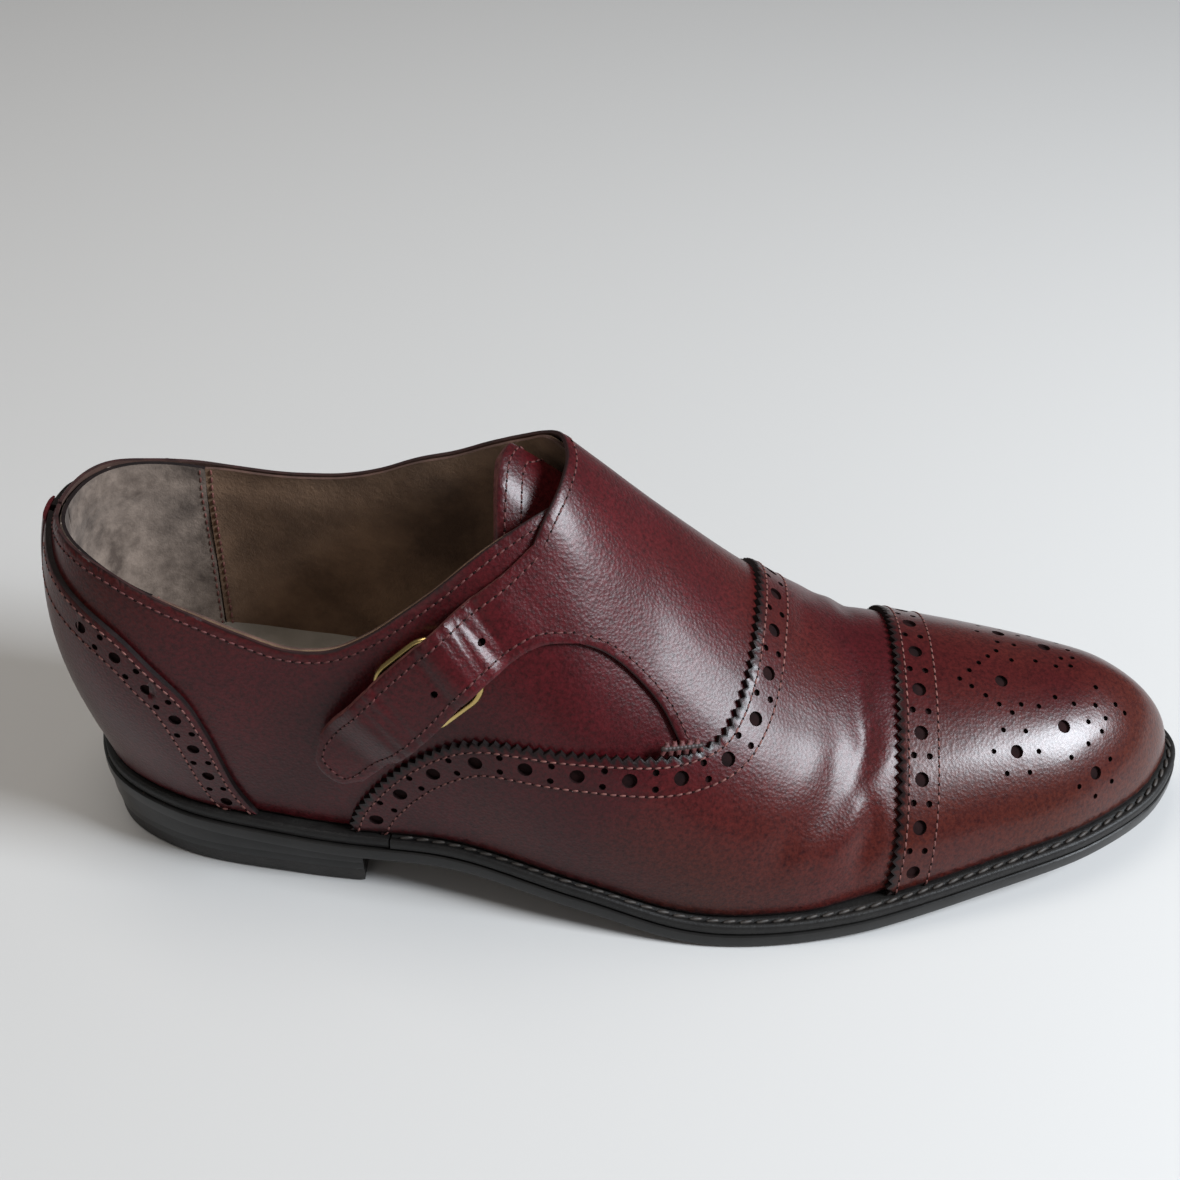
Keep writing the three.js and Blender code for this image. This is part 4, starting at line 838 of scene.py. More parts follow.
def plain_material(name, light, dark, roughness, scale=60, grain=0.3, grain_scale=900, metallic=0.0, sheen=0.0, coat=0.0,
                   specular=0.5):
    """A mottled material: suede, thread, sole edge, cork, rubber or metal."""
    material, nodes, links = node_tree(name)
    if nodes is None:
        return material
    shader = nodes["Principled BSDF"]
    place = add(nodes, "ShaderNodeTexCoord").outputs["Object"]
    cloud = add(nodes, "ShaderNodeTexNoise", {"Scale": scale, "Detail": 5, "Roughness": 0.65})
    links.new(place, cloud.inputs["Vector"])
    colour = mix(nodes, links, ramp(nodes, links, cloud.outputs["Fac"], 0.35, 0.66), dark, light)
    links.new(colour, shader.inputs["Base Color"])
    if grain:
        fine = add(nodes, "ShaderNodeTexNoise", {"Scale": grain_scale, "Detail": 4, "Roughness": 0.75})
        links.new(place, fine.inputs["Vector"])
        bump = add(nodes, "ShaderNodeBump", {"Strength": grain, "Distance": 0.0004})
        links.new(fine.outputs["Fac"], bump.inputs["Height"])
        links.new(bump.outputs["Normal"], shader.inputs["Normal"])
    shader.inputs["Roughness"].default_value = roughness
    shader.inputs["Metallic"].default_value = metallic
    shader.inputs["Sheen Weight"].default_value = sheen
    shader.inputs["Specular IOR Level"].default_value = specular
    shader.inputs["Coat Weight"].default_value = coat
    return material


def shades():
    """Every finish of the shoe, by name."""
    s = settings()
    calf = tuple(s.calf_colour)
    deep = tuple(c * 0.55 for c in calf)
    brown = tuple(s.polish_colour)
    polished = tuple(0.46 * (a + b) for a, b in zip(calf, brown))
    return {
        "calf": leather_material("oxblood calf", calf, deep, 0.36, 0.3, 0.16, brown),
        "cap": leather_material("burnished calf", polished, deep, 0.29, 0.18, 0.25, brown),
        "edge": plain_material("inked edge", (0.010, 0.005, 0.005), (0.004, 0.002, 0.002), 0.6, 300, specular=0.2),
        "cut_edge": plain_material("stained edge", (0.035, 0.012, 0.011), (0.015, 0.006, 0.006), 0.6, 300, specular=0.25),
        "raw": plain_material("raw strap edge", (0.15, 0.05, 0.045), (0.06, 0.016, 0.016), 0.8, 420, 0.9, specular=0.2),
        # Near-black for punched-hole walls and floors and for needle holes: painted shade in these recesses.
        "hole": plain_material("punched dark", (0.016, 0.005, 0.005), (0.007, 0.003, 0.003), 0.85, 300, 0, specular=0.1),
        "flesh": plain_material("flesh side", (0.10, 0.05, 0.036), (0.05, 0.024, 0.018), 0.9, 120, 0.5),
        "lining": plain_material("brown suede", (0.30, 0.185, 0.115), (0.11, 0.064, 0.040), 0.92, 30, 0.8, 600,
                                 sheen=0.12, specular=0.2),
        "grip": plain_material("grey grip suede", (0.24, 0.185, 0.15), (0.075, 0.054, 0.043), 0.95, 110, 1.0, 380,
                               sheen=0.15, specular=0.2),
        "sock": plain_material("sock leather", (0.30, 0.265, 0.225), (0.19, 0.165, 0.135), 0.75, 40, 0.3),
        "thread": plain_material("oxblood thread", (0.11, 0.022, 0.02), (0.05, 0.01, 0.01), 0.65, 900, 0),
        "light_thread": plain_material("worn thread", (0.20, 0.075, 0.06), (0.08, 0.02, 0.018), 0.65, 700, 0),
        "dark_thread": plain_material("waxed thread", (0.03, 0.013, 0.011), (0.010, 0.005, 0.005), 0.55, 900, 0),
        "welt_thread": plain_material("welt thread", (0.045, 0.036, 0.03), (0.018, 0.014, 0.012), 0.6, 900, 0),
        "sole": plain_material("black sole edge", (0.012, 0.011, 0.0105), (0.006, 0.0055, 0.005), 0.34, 90, 0.12, 500, coat=0.1, specular=0.3),
        "welt": plain_material("black welt", (0.011, 0.010, 0.009), (0.005, 0.004, 0.004), 0.5, 120, 0.6, 600, specular=0.3),
        "tread": plain_material("sole underside", (0.09, 0.055, 0.035), (0.05, 0.032, 0.022), 0.6, 50, 0.3),
        "rubber": plain_material("heel rubber", (0.018, 0.015, 0.014), (0.009, 0.008, 0.007), 0.55, 150, 0.4),
        "brass": plain_material("polished brass", (0.66, 0.50, 0.21), (0.46, 0.33, 0.12), 0.24, 60, 0.05, metallic=1.0),
        "steel": plain_material("steel", (0.5, 0.5, 0.51), (0.35, 0.35, 0.36), 0.35, 90, 0, metallic=1.0),
        "cork": plain_material("cork", (0.42, 0.26, 0.13), (0.25, 0.14, 0.07), 0.9, 400, 0.8),
        "board": plain_material("leather board", (0.42, 0.27, 0.16), (0.32, 0.19, 0.11), 0.85, 90, 0.4),
    }


# ------------------------------------------------------------------ settings
def length_prop(name, description, default):
    return bpy.props.FloatProperty(name=name, description=description, default=default, subtype="DISTANCE", unit="LENGTH",
                                   min=0.0001)


def colour_prop(name, description, default):
    return bpy.props.FloatVectorProperty(name=name, description=description, default=default, subtype="COLOR", size=3,
                                         min=0, max=1)


class ShoeSettings(bpy.types.PropertyGroup):
    """Sizes and colours of the shoe's finish."""

    calf_colour: colour_prop("Calf colour", "Dyed calf of the upper", (0.080, 0.0060, 0.0088))
    polish_colour: colour_prop("Polish colour", "Brown polish worked into the calf", (0.062, 0.0125, 0.0060))
    stitch_pitch: length_prop("Stitch pitch", "Length of one stitch with its gap", 0.0023)
    tooth_pitch: length_prop("Tooth pitch", "Distance between the gimped edge's teeth", 0.0027)
    tooth_depth: length_prop("Tooth depth", "Depth of the gimped edge's teeth", 0.0013)
    big_hole: length_prop("Large hole", "Radius of a large punched hole", 0.0019)
    small_hole: length_prop("Small hole", "Radius of a small punched hole", 0.0009)
    welt_pitch: length_prop("Welt stitch pitch", "Length of one welt stitch", 0.0042)


# ------------------------------------------------------------------ upper
def above(level, rise):
    return lambda p: level(p) + rise


def constant(r):
    return lambda p: np.full(len(p), float(r))


def closed(*lines):
    """One closed outline of pattern lines that follow each other."""
    return np.vstack([np.asarray(line)[:-1] for line in lines])


def straight(a, b, spacing=1.6):
    return path([a, b], spacing)


def along_feather(q0, q1, g, spacing=1.6):
    """The lower edge of a piece, along one feather line."""
    return path([(q0, g), (q1, g)], spacing)


def capline(rise=0.0):
    return [(q + rise, g) for q, g in CAP_EDGE]


class SHOE_OT_vamp(bpy.types.Operator):
    """Vamp with its gimped and punched edge"""

    bl_idname = "shoe.vamp"
    bl_label = "Vamp"

    def execute(self, context):
        s, m = settings(), shades()
        edge = gimped(VAMP_EDGE, s.tooth_pitch / MM, s.tooth_depth / MM)
        front = path(capline(8.0)[::-1], 1.8)
        outline = closed(edge, along_feather(-69, 74.5, 1), front, along_feather(74.5, -71, -1))
        top = above(vamp_level, LEATHER)
        low = above(vamp_level, -0.55)
        big, small = s.big_hole / MM, s.small_hole / MM
        holes = band_holes(VAMP_EDGE, 5.4, 12.3, big, small, 2.1)
        materials = [m["calf"], m["flesh"], m["edge"], m["hole"]]
        # The dark band along the gimped edge is ink and painted shade beside the teeth.
        vamp = leather("vamp", outline, low, top, holes, 2.0, materials=materials, border=0.8, ink_and_shade=0.32)
        finish_piece(vamp, "shoe", "calf_leather", "vamp")
        dense = path(VAMP_EDGE, 1.0)
        light = sewn("vamp_stitching", [beside(dense, d) for d in (2.2, 9.4)], top, m["light_thread"], m["hole"])
        finish_piece(light, "shoe", "calf_leather")
        return {"FINISHED"}


MEDALLION_RINGS = [  # q, g, radius of the ring, its holes and its turn
    (97, -0.178, 0, 0, 0), (99.5, -0.516, 6.2, 6, 1), (115, -0.42, 8.0, 8, 2), (123, -0.70, 6.0, 6, 0),
    (116, 0.13, 8.0, 8, 1), (100, 0.21, 6.2, 6, 1),
]
MEDALLION_ROWS = [  # two ends on the pattern and the number of holes
    ((85.5, -0.184), (103, 0.096), 7), ((88.5, -0.216), (99, -0.336), 4), ((102, -0.296), (112, -0.22), 3),
    ((101.5, -0.048), (122, -0.116), 4), ((118.5, -0.224), (131, -0.34), 3), ((138.5, -0.244), (142.5, -0.472), 4),
    ((132.5, -0.432), (121, -0.612), 4), ((138, -0.05), (141, 0.14), 4), ((124, 0.02), (132, 0.12), 3),
]


def medallion(big, small):
    """The toe's punched figure: large holes, some in a ring of small ones, and rows that make lozenges."""
    holes, spots = [], []
    for q, g, radius, count, turn in MEDALLION_RINGS:
        holes.append((q, g, big * 0.92))
        if count:
            spots += ring_round((q, g), radius, count * 4)[turn::4].tolist()
    rows = MEDALLION_ROWS
    for a, b, count in rows:
        for w in np.linspace(0, 1, count):
            spots.append((a[0] + (b[0] - a[0]) * w, a[1] + (b[1] - a[1]) * w))
    placed = [(on_pattern(np.array([h[:2]]))[0], h[2]) for h in holes]
    for spot in spots:
        here = on_pattern(np.array([spot]))[0]
        if all(np.linalg.norm(here - p) > r + small + 1.9 for p, r in placed):
            placed.append((here, small))
            holes.append((*spot, small))
    return holes


class SHOE_OT_toe_cap(bpy.types.Operator):
    """Toe cap with its punched band and medallion"""

    bl_idname = "shoe.toe_cap"
    bl_label = "Toe cap"

    def execute(self, context):
        s, m = settings(), shades()
        edge = gimped(capline()[::-1], s.tooth_pitch / MM, s.tooth_depth / MM)
        round_toe = closed(along_feather(66.5, TIP_Q, -1), along_feather(TIP_Q, 66.5, 1), edge)
        top = constant(TOP)
        big, small = s.big_hole / MM, s.small_hole / MM
        holes = band_holes(capline(), 5.6, 11.0, big, small, 2.1) + medallion(big, small * 0.8)
        materials = [m["cap"], m["flesh"], m["edge"], m["hole"]]
        # The dark band along the gimped edge is ink and painted shade beside the teeth.
        cap = leather("toe_cap", round_toe, constant(OVERLAY - 0.55), top, holes, 2.1, materials=materials, border=0.8, ink_and_shade=0.32)
        finish_piece(cap, "shoe", "calf_leather", "toe_cap")
        dense = path(capline(), 1.0)
        rows = sewn("toe_cap_stitching", [beside(dense, d) for d in (2.2, 10.2)], top, m["light_thread"], m["hole"])
        finish_piece(rows, "shoe", "calf_leather")
        return {"FINISHED"}


class SHOE_OT_quarters(bpy.types.Operator):
    """Outer and inner quarter, the inner one with the apron that crosses the instep"""

    bl_idname = "shoe.quarters"
    bl_label = "Quarters"

    def execute(self, context):
        m = shades()
        materials = [m["calf"], m["flesh"], m["cut_edge"], m["hole"]]
        collar = path(OUTER_COLLAR, 1.6)
        outline = closed(
            collar, path([(-20, -0.18), (-6, -0.27), (12, -0.43), (24, -0.6)], 2.5),
            path([(24, -0.6), (12, -0.66), (-8, -0.72), (-30, -0.775), (-46, -0.84), (-57, -0.93), (-62, -1)], 2.5),
            along_feather(-62, SEAM_Q, -1), straight((SEAM_Q, -1), (SEAM_Q, -0.49)),
        )
        top = above(outer_quarter_level, LEATHER)
        outer = leather("outer_quarter", outline, outer_quarter_level, top, (), 2.3, materials=materials, dark=0.6)
        finish_piece(outer, "shoe", "quarter_leather", "outer_quarter")
        inner_collar = path([*INNER_COLLAR, FOLD_TOP], 1.4)
        outline = closed(
            inner_collar, path([FOLD_TOP, FOLD_BOTTOM], 1.2), path(APRON_FRONT[::-1], 1.2),
            path([(13, -0.545), (13, -0.6)], 1.5),
            path([(13, -0.6), (25, -0.53), (34, -0.42), (40, -0.25), (41.5, 0), (39, 0.3), (35, 0.45), (26, 0.58),
                  (10, 0.67), (-14, 0.735), (-38, 0.81), (-52, 0.9), (-60, 1)], 2.5),
            along_feather(-60, SEAM_Q, 1), straight((SEAM_Q, 1), (SEAM_Q, 0.49)),
        )
        apron_top = above(apron_level, LEATHER)
        inner = leather("inner_quarter", outline, apron_level, apron_top, (), 2.0, materials=materials, dark=0.6,
                        joined=(FOLD_TOP, FOLD_BOTTOM))
        finish_piece(inner, "shoe", "quarter_leather", "inner_quarter")
        for name, line, offset, face in (
            ("outer_topline_stitching", OUTER_COLLAR, 2.6, top), ("inner_topline_stitching", [*INNER_COLLAR, FOLD_TOP], -2.6, apron_top),
            ("apron_stitching", APRON_FRONT, 2.4, apron_top),
        ):
            row = beside(path(line, 1.0), offset)
            stitches = sewn(name, [row], face, m["thread"], m["hole"])
            finish_piece(stitches, "shoe", "quarter_leather")
        return {"FINISHED"}


class SHOE_OT_foxing(bpy.types.Operator):
    """Punched heel foxing on both sides, with the backstay over the seam"""

    bl_idname = "shoe.foxing"
    bl_label = "Heel foxing"

    def execute(self, context):
        s, m = settings(), shades()
        materials = [m["calf"], m["flesh"], m["edge"], m["hole"]]
        seam_q = BACK_Q + 1
        top = constant(TOP)
        for side, name in ((-1, "outer_foxing"), (1, "inner_foxing")):
            edge = [(q, side * g) for q, g in FOXING_EDGE]
            upper = [(-145, side * 0.512), (-149, side * 0.508), (seam_q, side * 0.505)]
            outline = closed(
                path(edge, 1.4), path(upper, 1.4), straight((seam_q, side * 0.505), (seam_q, side)),
                along_feather(seam_q, -95, side),
            )
            big, small = s.big_hole / MM * 0.86, s.small_hole / MM
            holes = band_holes(edge[:-1], side * 5.0, 10.8, big, small, 2.0)
            piece = leather(name, outline, constant(OVERLAY - 0.55), top, holes, 2.2, materials=materials, dark=0.45)
            finish_piece(piece, "shoe", "calf_leather", name)
            dense = path(edge, 1.0)
            rows = [beside(dense, side * d) for d in (1.5, 8.6)]
            stitches = sewn(f"{name}_stitching", rows, top, m["light_thread"], m["hole"])
            finish_piece(stitches, "shoe", "calf_leather")
        half = 4.6 / (np.linalg.norm(np.diff(PLAN, axis=0), axis=1).mean())
        us = HEEL_BACK + half * np.linspace(-1, 1, 9)
        shares = np.linspace(0, 0.493, 60)
        u, share = np.meshgrid(us, shares)
        point, normal = last_point(u, climb_at(u, share)), last_normal(u, climb_at(u, share))
        crown = TOP + 0.5 + 0.5 * (1 - np.linspace(-1, 1, 9) ** 4)
        high = point + normal * crown[None, :, None]
        low = point + normal * TOP
        back = grid_shell("backstay", low, high, [m["calf"]])
        finish_piece(back, "shoe", "calf_leather", "backstay")
        return {"FINISHED"}


def grid_shell(name, low, high, materials, indices=None):
    """A closed sheet between two grids of points."""
    rows, cols = low.shape[:2]
    count = rows * cols
    verts = np.vstack([high.reshape(-1, 3), low.reshape(-1, 3)])
    faces = []
    for i in range(rows - 1):
        for j in range(cols - 1):
            a = i * cols + j
            faces.append((a, a + 1, a + cols + 1, a + cols))
            faces.append((count + a, count + a + cols, count + a + cols + 1, count + a + 1))
    border = [j for j in range(cols)] + [i * cols + cols - 1 for i in range(1, rows)]
    border += [(rows - 1) * cols + j for j in range(cols - 2, -1, -1)] + [i * cols for i in range(rows - 2, 0, -1)]
    for a, b in zip(border, border[1:] + border[:1]):
        faces.append((a, b, count + b, count + a))
    if indices is not None:
        indices = [indices[1] if k % 2 else indices[0] for k in range(2 * (rows - 1) * (cols - 1))]
        indices += [1] * (len(faces) - len(indices))
    return new_piece(name, verts, faces, materials, indices)


class SHOE_OT_tongue(bpy.types.Operator):
    """Tongue with its padded edge"""

    bl_idname = "shoe.tongue"
    bl_label = "Tongue"

    def execute(self, context):
        m = shades()
        head = [
            (TONGUE_TOP_Q, -0.42), (TONGUE_TOP_Q + 2, -0.25), (TONGUE_TOP_Q + 5, -0.08), (TONGUE_TOP_Q + 9, 0.06),
            (TONGUE_TOP_Q + 12, 0.2),
        ]
        outline = closed(
            path(head, 1.4), path([head[-1], (0, 0.33), (22, 0.38)], 2.5),
            path([(22, 0.38), (33, 0.22), (TONGUE_ROOT_Q, 0), (33, -0.22), (22, -0.4)], 2.5),
            path([(22, -0.4), (0, -0.42), head[0]], 2.5),
        )
        top = above(tongue_level, LEATHER)
        materials = [m["calf"], m["lining"], m["raw"], m["hole"]]
        tongue = leather("tongue", outline, above(tongue_level, -1.6), top, (), 2.2, materials=materials, dark=0.3,
                         place=tongue_place)
        finish_piece(tongue, "tongue", "quarter_leather", "tongue", "tongue_lining")
        dense = path(head, 1.0)
        rows = sewn("tongue_stitching", [beside(dense, d) for d in (2.4, 7.0)], top, m["thread"], m["hole"],
                    place=tongue_place)
        finish_piece(rows, "tongue", "quarter_leather")
        return {"FINISHED"}


def lining_rise(collar, depth=0.075):
    """The lining's lower face: it comes up against the leather at the collar."""
    def low(p):
        return LINING + 1.9 * ease(depth - (np.abs(p[:, 1]) - collar(p[:, 0])), 0, depth)

    return low


outer_collar_g = profile([(q, -g) for q, g in OUTER_COLLAR])
inner_collar_g = profile(INNER_COLLAR[:13])


class SHOE_OT_linings(bpy.types.Operator):
    """Suede linings and heel grip"""

    bl_idname = "shoe.linings"
    bl_label = "Linings"

    def execute(self, context):
        m = shades()
        inset = 0.004
        for side, name, collar in ((-1, "outer", OUTER_COLLAR), (1, "inner", INNER_COLLAR)):
            share = outer_collar_g if side < 0 else inner_collar_g
            low = lining_rise(share)
            high = above(low, 1.0)
            materials = [m["lining"], m["lining"], m["flesh"], m["hole"]]
            butt = -112.4
            start = (butt, side * (float(share(butt)) + inset))
            if side < 0:
                end = [(-20, -0.19), (-4, -0.3), (6, -0.5), (-6, -0.78), (-12, -1)]
                top_line = [start, *OUTER_COLLAR[4:-1], end[0]]
            else:
                end = [(-16, 0.02), (4, 0.06), (14, 0.25), (10, 0.5), (-6, 0.78), (-12, 1)]
                top_line = [start, *INNER_COLLAR[4:13], end[0]]
            outline = closed(path(top_line, 1.6), path(end, 2.5), along_feather(-12, butt, side, 2.5),
                             straight((butt, side), start, 2.5))
            piece = leather(f"{name}_quarter_lining", outline, low, high, (), 2.8, materials=materials, dark=0)
            finish_piece(piece, "shoe", "suede_lining", f"{name}_quarter_lining")
            outline = closed(
                path([(BACK_Q, side * (float(share(BACK_Q)) + inset)), (-133, side * (float(share(-133)) + inset)), start], 1.6),
                straight(start, (butt - 0.6, side), 2.5), along_feather(butt - 0.6, BACK_Q, side, 2.5),
                straight((BACK_Q, side), (BACK_Q, side * (float(share(BACK_Q)) + inset)), 2.5),
            )
            materials = [m["grip"], m["grip"], m["edge"], m["hole"]]
            piece = leather(f"{name}_heel_grip", outline, above(low, -0.25), high, (), 2.6, materials=materials, dark=0)
            finish_piece(piece, "shoe", "grip_suede", "heel_grip_lining")
            dense = path([start, (butt + 0.3, side)], 1.0)
            rows = [seam(beside(dense, 1.6 * w), above(low, -0.1)) for w in (-1, 1)]
            line = threads(f"{name}_grip_stitching", [(rows, 0.95, 0.35, 0.1, m["light_thread"])])
            finish_piece(line, "shoe", "grip_suede")
        return {"FINISHED"}


# ------------------------------------------------------------------ strap and buckle
def strap_outline(inset=0.0):
    across = unit(_flat(np.array(FOLD_TOP)) - _flat(np.array(FOLD_BOTTOM)))

    def moved(p, over, along=0.0):
        return (
            p[0] + STRAP_WAY[0] * along + across[0] * over,
            p[1] + (STRAP_WAY[1] * along + across[1] * over) / GIRTH_AT_STRAP,
        )

    low = [moved(p, inset) for p in STRAP_LOWER]
    high = [moved(p, -inset) for p in STRAP_UPPER]
    tip = [low[-1], *(moved(p, 0, -inset) for p in STRAP_TIP[1:-1]), high[-1]]
    return low, high, tip


class SHOE_OT_strap(bpy.types.Operator):
    """Strap that runs on from the apron and lies over the buckle"""

    bl_idname = "shoe.strap"
    bl_label = "Strap"

    def execute(self, context):
        m = shades()
        low, high, tip = strap_outline()
        outline = closed(path(low, 1.1), path(tip, 1.0), path(high[::-1], 1.1), path([high[0], low[0]], 1.1))
        materials = [m["calf"], m["flesh"], m["raw"], m["hole"]]
        # The strap holes' floors, 1.6 below the strap's face, are near-black: painted shade in the holes.
        holes = [(-34.5, -0.483, 0.95), (-44.5, -0.595, 0.95)]
        strap = leather("strap", outline, strap_level, strap_top, holes, 1.0, 1.6, materials, dark=0.12,
                        joined=(FOLD_TOP, FOLD_BOTTOM))
        in_low, in_high, in_tip = strap_outline(2.6)
        row = np.vstack([path(in_low, 1.0)[:-1], path(in_tip, 1.0)[:-1], path(in_high[::-1], 1.0)])
        stitches = sewn("strap_stitching", [row], strap_top, m["thread"], m["hole"])
        start, end = metres(fold_span(-0.5, 9.0))
        for piece in (strap, stitches):
            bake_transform(piece)
        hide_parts("strap", "strap_lining")
        return {"FINISHED"}


def fold_span(before, after):
    """Two points across the fold, square to its axis."""
    fold = on_pattern(np.array([FOLD_BOTTOM, FOLD_TOP]), TOP)
    middle, axis = fold.mean(0), unit(fold[1] - fold[0])
    ahead = on_pattern(np.array([[FOLD_TOP[0] - 14, -0.40]]), TOP)[0] - middle
    way = unit(ahead - axis * (ahead @ axis))
    return np.array([middle + way * before, middle + way * after])


def buckle_basis():
    """Origin on the rear bar, a towards the strap's tip, b across it and c outwards."""
    face = BASE + LEATHER
    loop = WIRE + 0.25 + 0.8
    rear_at = BUCKLE_FRONT + STRAP_WAY * BUCKLE_LENGTH / (1, GIRTH_AT_STRAP)
    rear = on_pattern(rear_at[None], face + GAP + loop)[0]
    front = on_pattern(BUCKLE_FRONT[None], face + GAP + WIRE + 1.1)[0]
    a = unit(rear - front)
    out = unit(rear - on_pattern(rear_at[None])[0])
    b = unit(np.cross(out, a))
    return rear, a, b, np.cross(a, b)


def to_buckle(obj):
    """A piece made flat about the rear bar, in metres, laid in the buckle's place."""
    origin, a, b, c = buckle_basis()
    matrix = Matrix(np.stack([a, b, c], -1).tolist()).to_4x4()
    matrix.translation = Vector(metres(origin).tolist())
    obj.data.transform(matrix)
    return obj


def deselect():
    if bpy.context.object and bpy.context.object.mode != "OBJECT":
        bpy.ops.object.mode_set(mode="OBJECT")
    bpy.ops.object.select_all(action="DESELECT")


def apply_all(obj):
    deselect()
    obj.select_set(True)
    bpy.context.view_layer.objects.active = obj
    bpy.ops.object.transform_apply(location=True, rotation=True, scale=True)


class SHOE_OT_buckle(bpy.types.Operator):
    """Rounded brass frame with its prong"""

    bl_idname = "shoe.buckle"
    bl_label = "Buckle"

    def execute(self, context):
        m = shades()
        deselect()
        length, width, wire = BUCKLE_LENGTH * MM, BUCKLE_WIDTH * MM, WIRE * MM
        bpy.ops.mesh.primitive_plane_add(size=1, location=(-length / 2, 0, 0))
        frame_piece = context.object
        frame_piece.scale = (length, width, 1)
        apply_all(frame_piece)
        bpy.ops.object.mode_set(mode="EDIT")
        bpy.ops.mesh.select_all(action="SELECT")
        bpy.ops.mesh.bevel(offset=0.0072, segments=12, affect="VERTICES")
        bpy.ops.mesh.select_all(action="SELECT")
        bpy.ops.mesh.delete(type="ONLY_FACE")
        bpy.ops.object.mode_set(mode="OBJECT")
        bpy.ops.object.convert(target="CURVE")
        frame_piece.data.bevel_depth = wire
        frame_piece.data.bevel_resolution = 5
        bpy.ops.object.convert(target="MESH")
        frame_piece = context.object
        frame_piece.name = "brass_frame"
        frame_piece.data.materials.clear()
        frame_piece.data.materials.append(m["brass"])
        to_buckle(frame_piece)
        smooth(frame_piece, 60)
        finish_piece(frame_piece, "buckle", "brass", "buckle_frame")

        deselect()
        reach, rise = (BUCKLE_LENGTH + 1.6) * MM, (WIRE + GAP + 0.7) * MM
        lift = (WIRE + 0.65) * MM
        bpy.ops.mesh.primitive_torus_add(
            major_radius=(WIRE + 0.65) * MM, minor_radius=0.4 * MM, major_segments=28, minor_segments=10,
            rotation=(math.pi / 2, 0, 0),
        )
        eye = context.object
        eye.scale = (1, 1, 2.2)
        apply_all(eye)
        bpy.ops.mesh.primitive_cylinder_add(vertices=16, radius=0.7 * MM, depth=reach)
        pin = context.object
        bpy.ops.object.mode_set(mode="EDIT")
        bpy.ops.mesh.select_all(action="SELECT")
        bpy.ops.mesh.bevel(offset=0.35 * MM, segments=3, affect="EDGES")
        bpy.ops.object.mode_set(mode="OBJECT")
        for v in pin.data.vertices:
            share = v.co.z / reach + 0.5
            v.co.x *= 1 - 0.25 * share
            v.co.y *= 1 - 0.25 * share
        slope = math.atan2(rise - lift, reach)
        pin.rotation_euler = (0, -math.pi / 2 + slope, 0)
        pin.location = (-reach / 2 - 0.0004, 0, (rise + lift) / 2)
        apply_all(pin)
        eye.select_set(True)
        pin.select_set(True)
        context.view_layer.objects.active = pin
        bpy.ops.object.join()
        prong = context.object
        prong.name = "brass_prong"
        prong.data.materials.clear()
        prong.data.materials.append(m["brass"])
        to_buckle(prong)
        smooth(prong, 50)
        finish_piece(prong, "prong", "brass", "buckle_prong")
        return {"FINISHED"}


class SHOE_OT_chape(bpy.types.Operator):
    """Short leather loop that holds the buckle's rear bar, and the whipped tack of the apron"""

    bl_idname = "shoe.chape"
    bl_label = "Chape and tack"

    def execute(self, context):
        m = shades()
        origin, a, b, c = buckle_basis()
        rear = BUCKLE_FRONT + STRAP_WAY * BUCKLE_LENGTH / (1, GIRTH_AT_STRAP)
        face, leather_thick, width, tail = BASE + LEATHER, 0.8, 13.0, 15.0
        bar = WIRE + 0.25

        def point(s, share, extra):
            """s runs from the loop's under side round the bar and back along the quarter."""
            over = share * width
            turn = (bar + extra) * np.array([-math.cos(s), math.sin(s)])
            return origin + a * turn[0] + b * over + c * turn[1]

        turns = np.linspace(-math.pi * 0.55, math.pi * 0.62, 22)
        shares = np.linspace(-0.5, 0.5, 9)
        laid_at = np.linspace(3.0, tail, 9)

        def grid(extra):
            rows = []
            for s in turns:
                rows.append([point(s, share, extra) for share in shares])
            for over in laid_at:
                at = [
                    (rear[0] + STRAP_WAY[0] * over - STRAP_WAY[1] * share * width,
                     rear[1] + (STRAP_WAY[1] * over + STRAP_WAY[0] * share * width) / GIRTH_AT_STRAP)
                    for share in shares
                ]
                rows.append(list(on_pattern(np.array(at), face + GAP + 0.8 + extra)))
            return np.array(rows)

        chape = grid_shell("chape", grid(0.02), grid(leather_thick), [m["calf"]])
        finish_piece(chape, "shoe", "calf_leather", "chape")

        line = path([(8.5, -0.566), (16.5, -0.535)], 0.95)
        points = on_pattern(line, TOP + 0.5)
        ways = unit(np.gradient(points, axis=0))
        normals = normal_at(line)
        across = unit(np.cross(normals, ways))
        crossing = [0.45 if k % 2 else -0.55 for k in range(len(line))]
        wraps = (([(points, across, normals)], 2.1, 0.68, crossing, m["thread"]))
        core = (([(points, ways, normals)], 1.2, 0.85, 0.0, m["dark_thread"]))
        bars = threads("strap_bar_tack", [wraps, core])
        finish_piece(bars, "shoe", "waxed_thread", "strap_bar_tack")
        return {"FINISHED"}


# ------------------------------------------------------------------ sole and heel
def plan_ring(inset, base=None, count=300, cut=None):
    """The plan of a layer, inset from the outsole's edge or from the feather line."""
    ring = (PLAN if base is None else base) - PLAN_NORMAL * inset
    ring = even(ring, count, closed=True)
    if cut is not None:
        ring = ring[ring[:, 0] < cut]
        start = int(np.argmax(np.linalg.norm(np.diff(np.vstack([ring, ring[:1]]), axis=0), axis=1)))
        ring = np.roll(ring, -start - 1, 0)
        ends = [(cut, ring[-1, 1]), (cut, ring[0, 1])]
        side = [(cut, y) for y in np.linspace(ends[0][1], ends[1][1], 12)]
        ring = np.vstack([ring, side])
    return ring


def edges_at(bm, wanted):
    for edge in bm.edges:
        edge.select = wanted(edge)


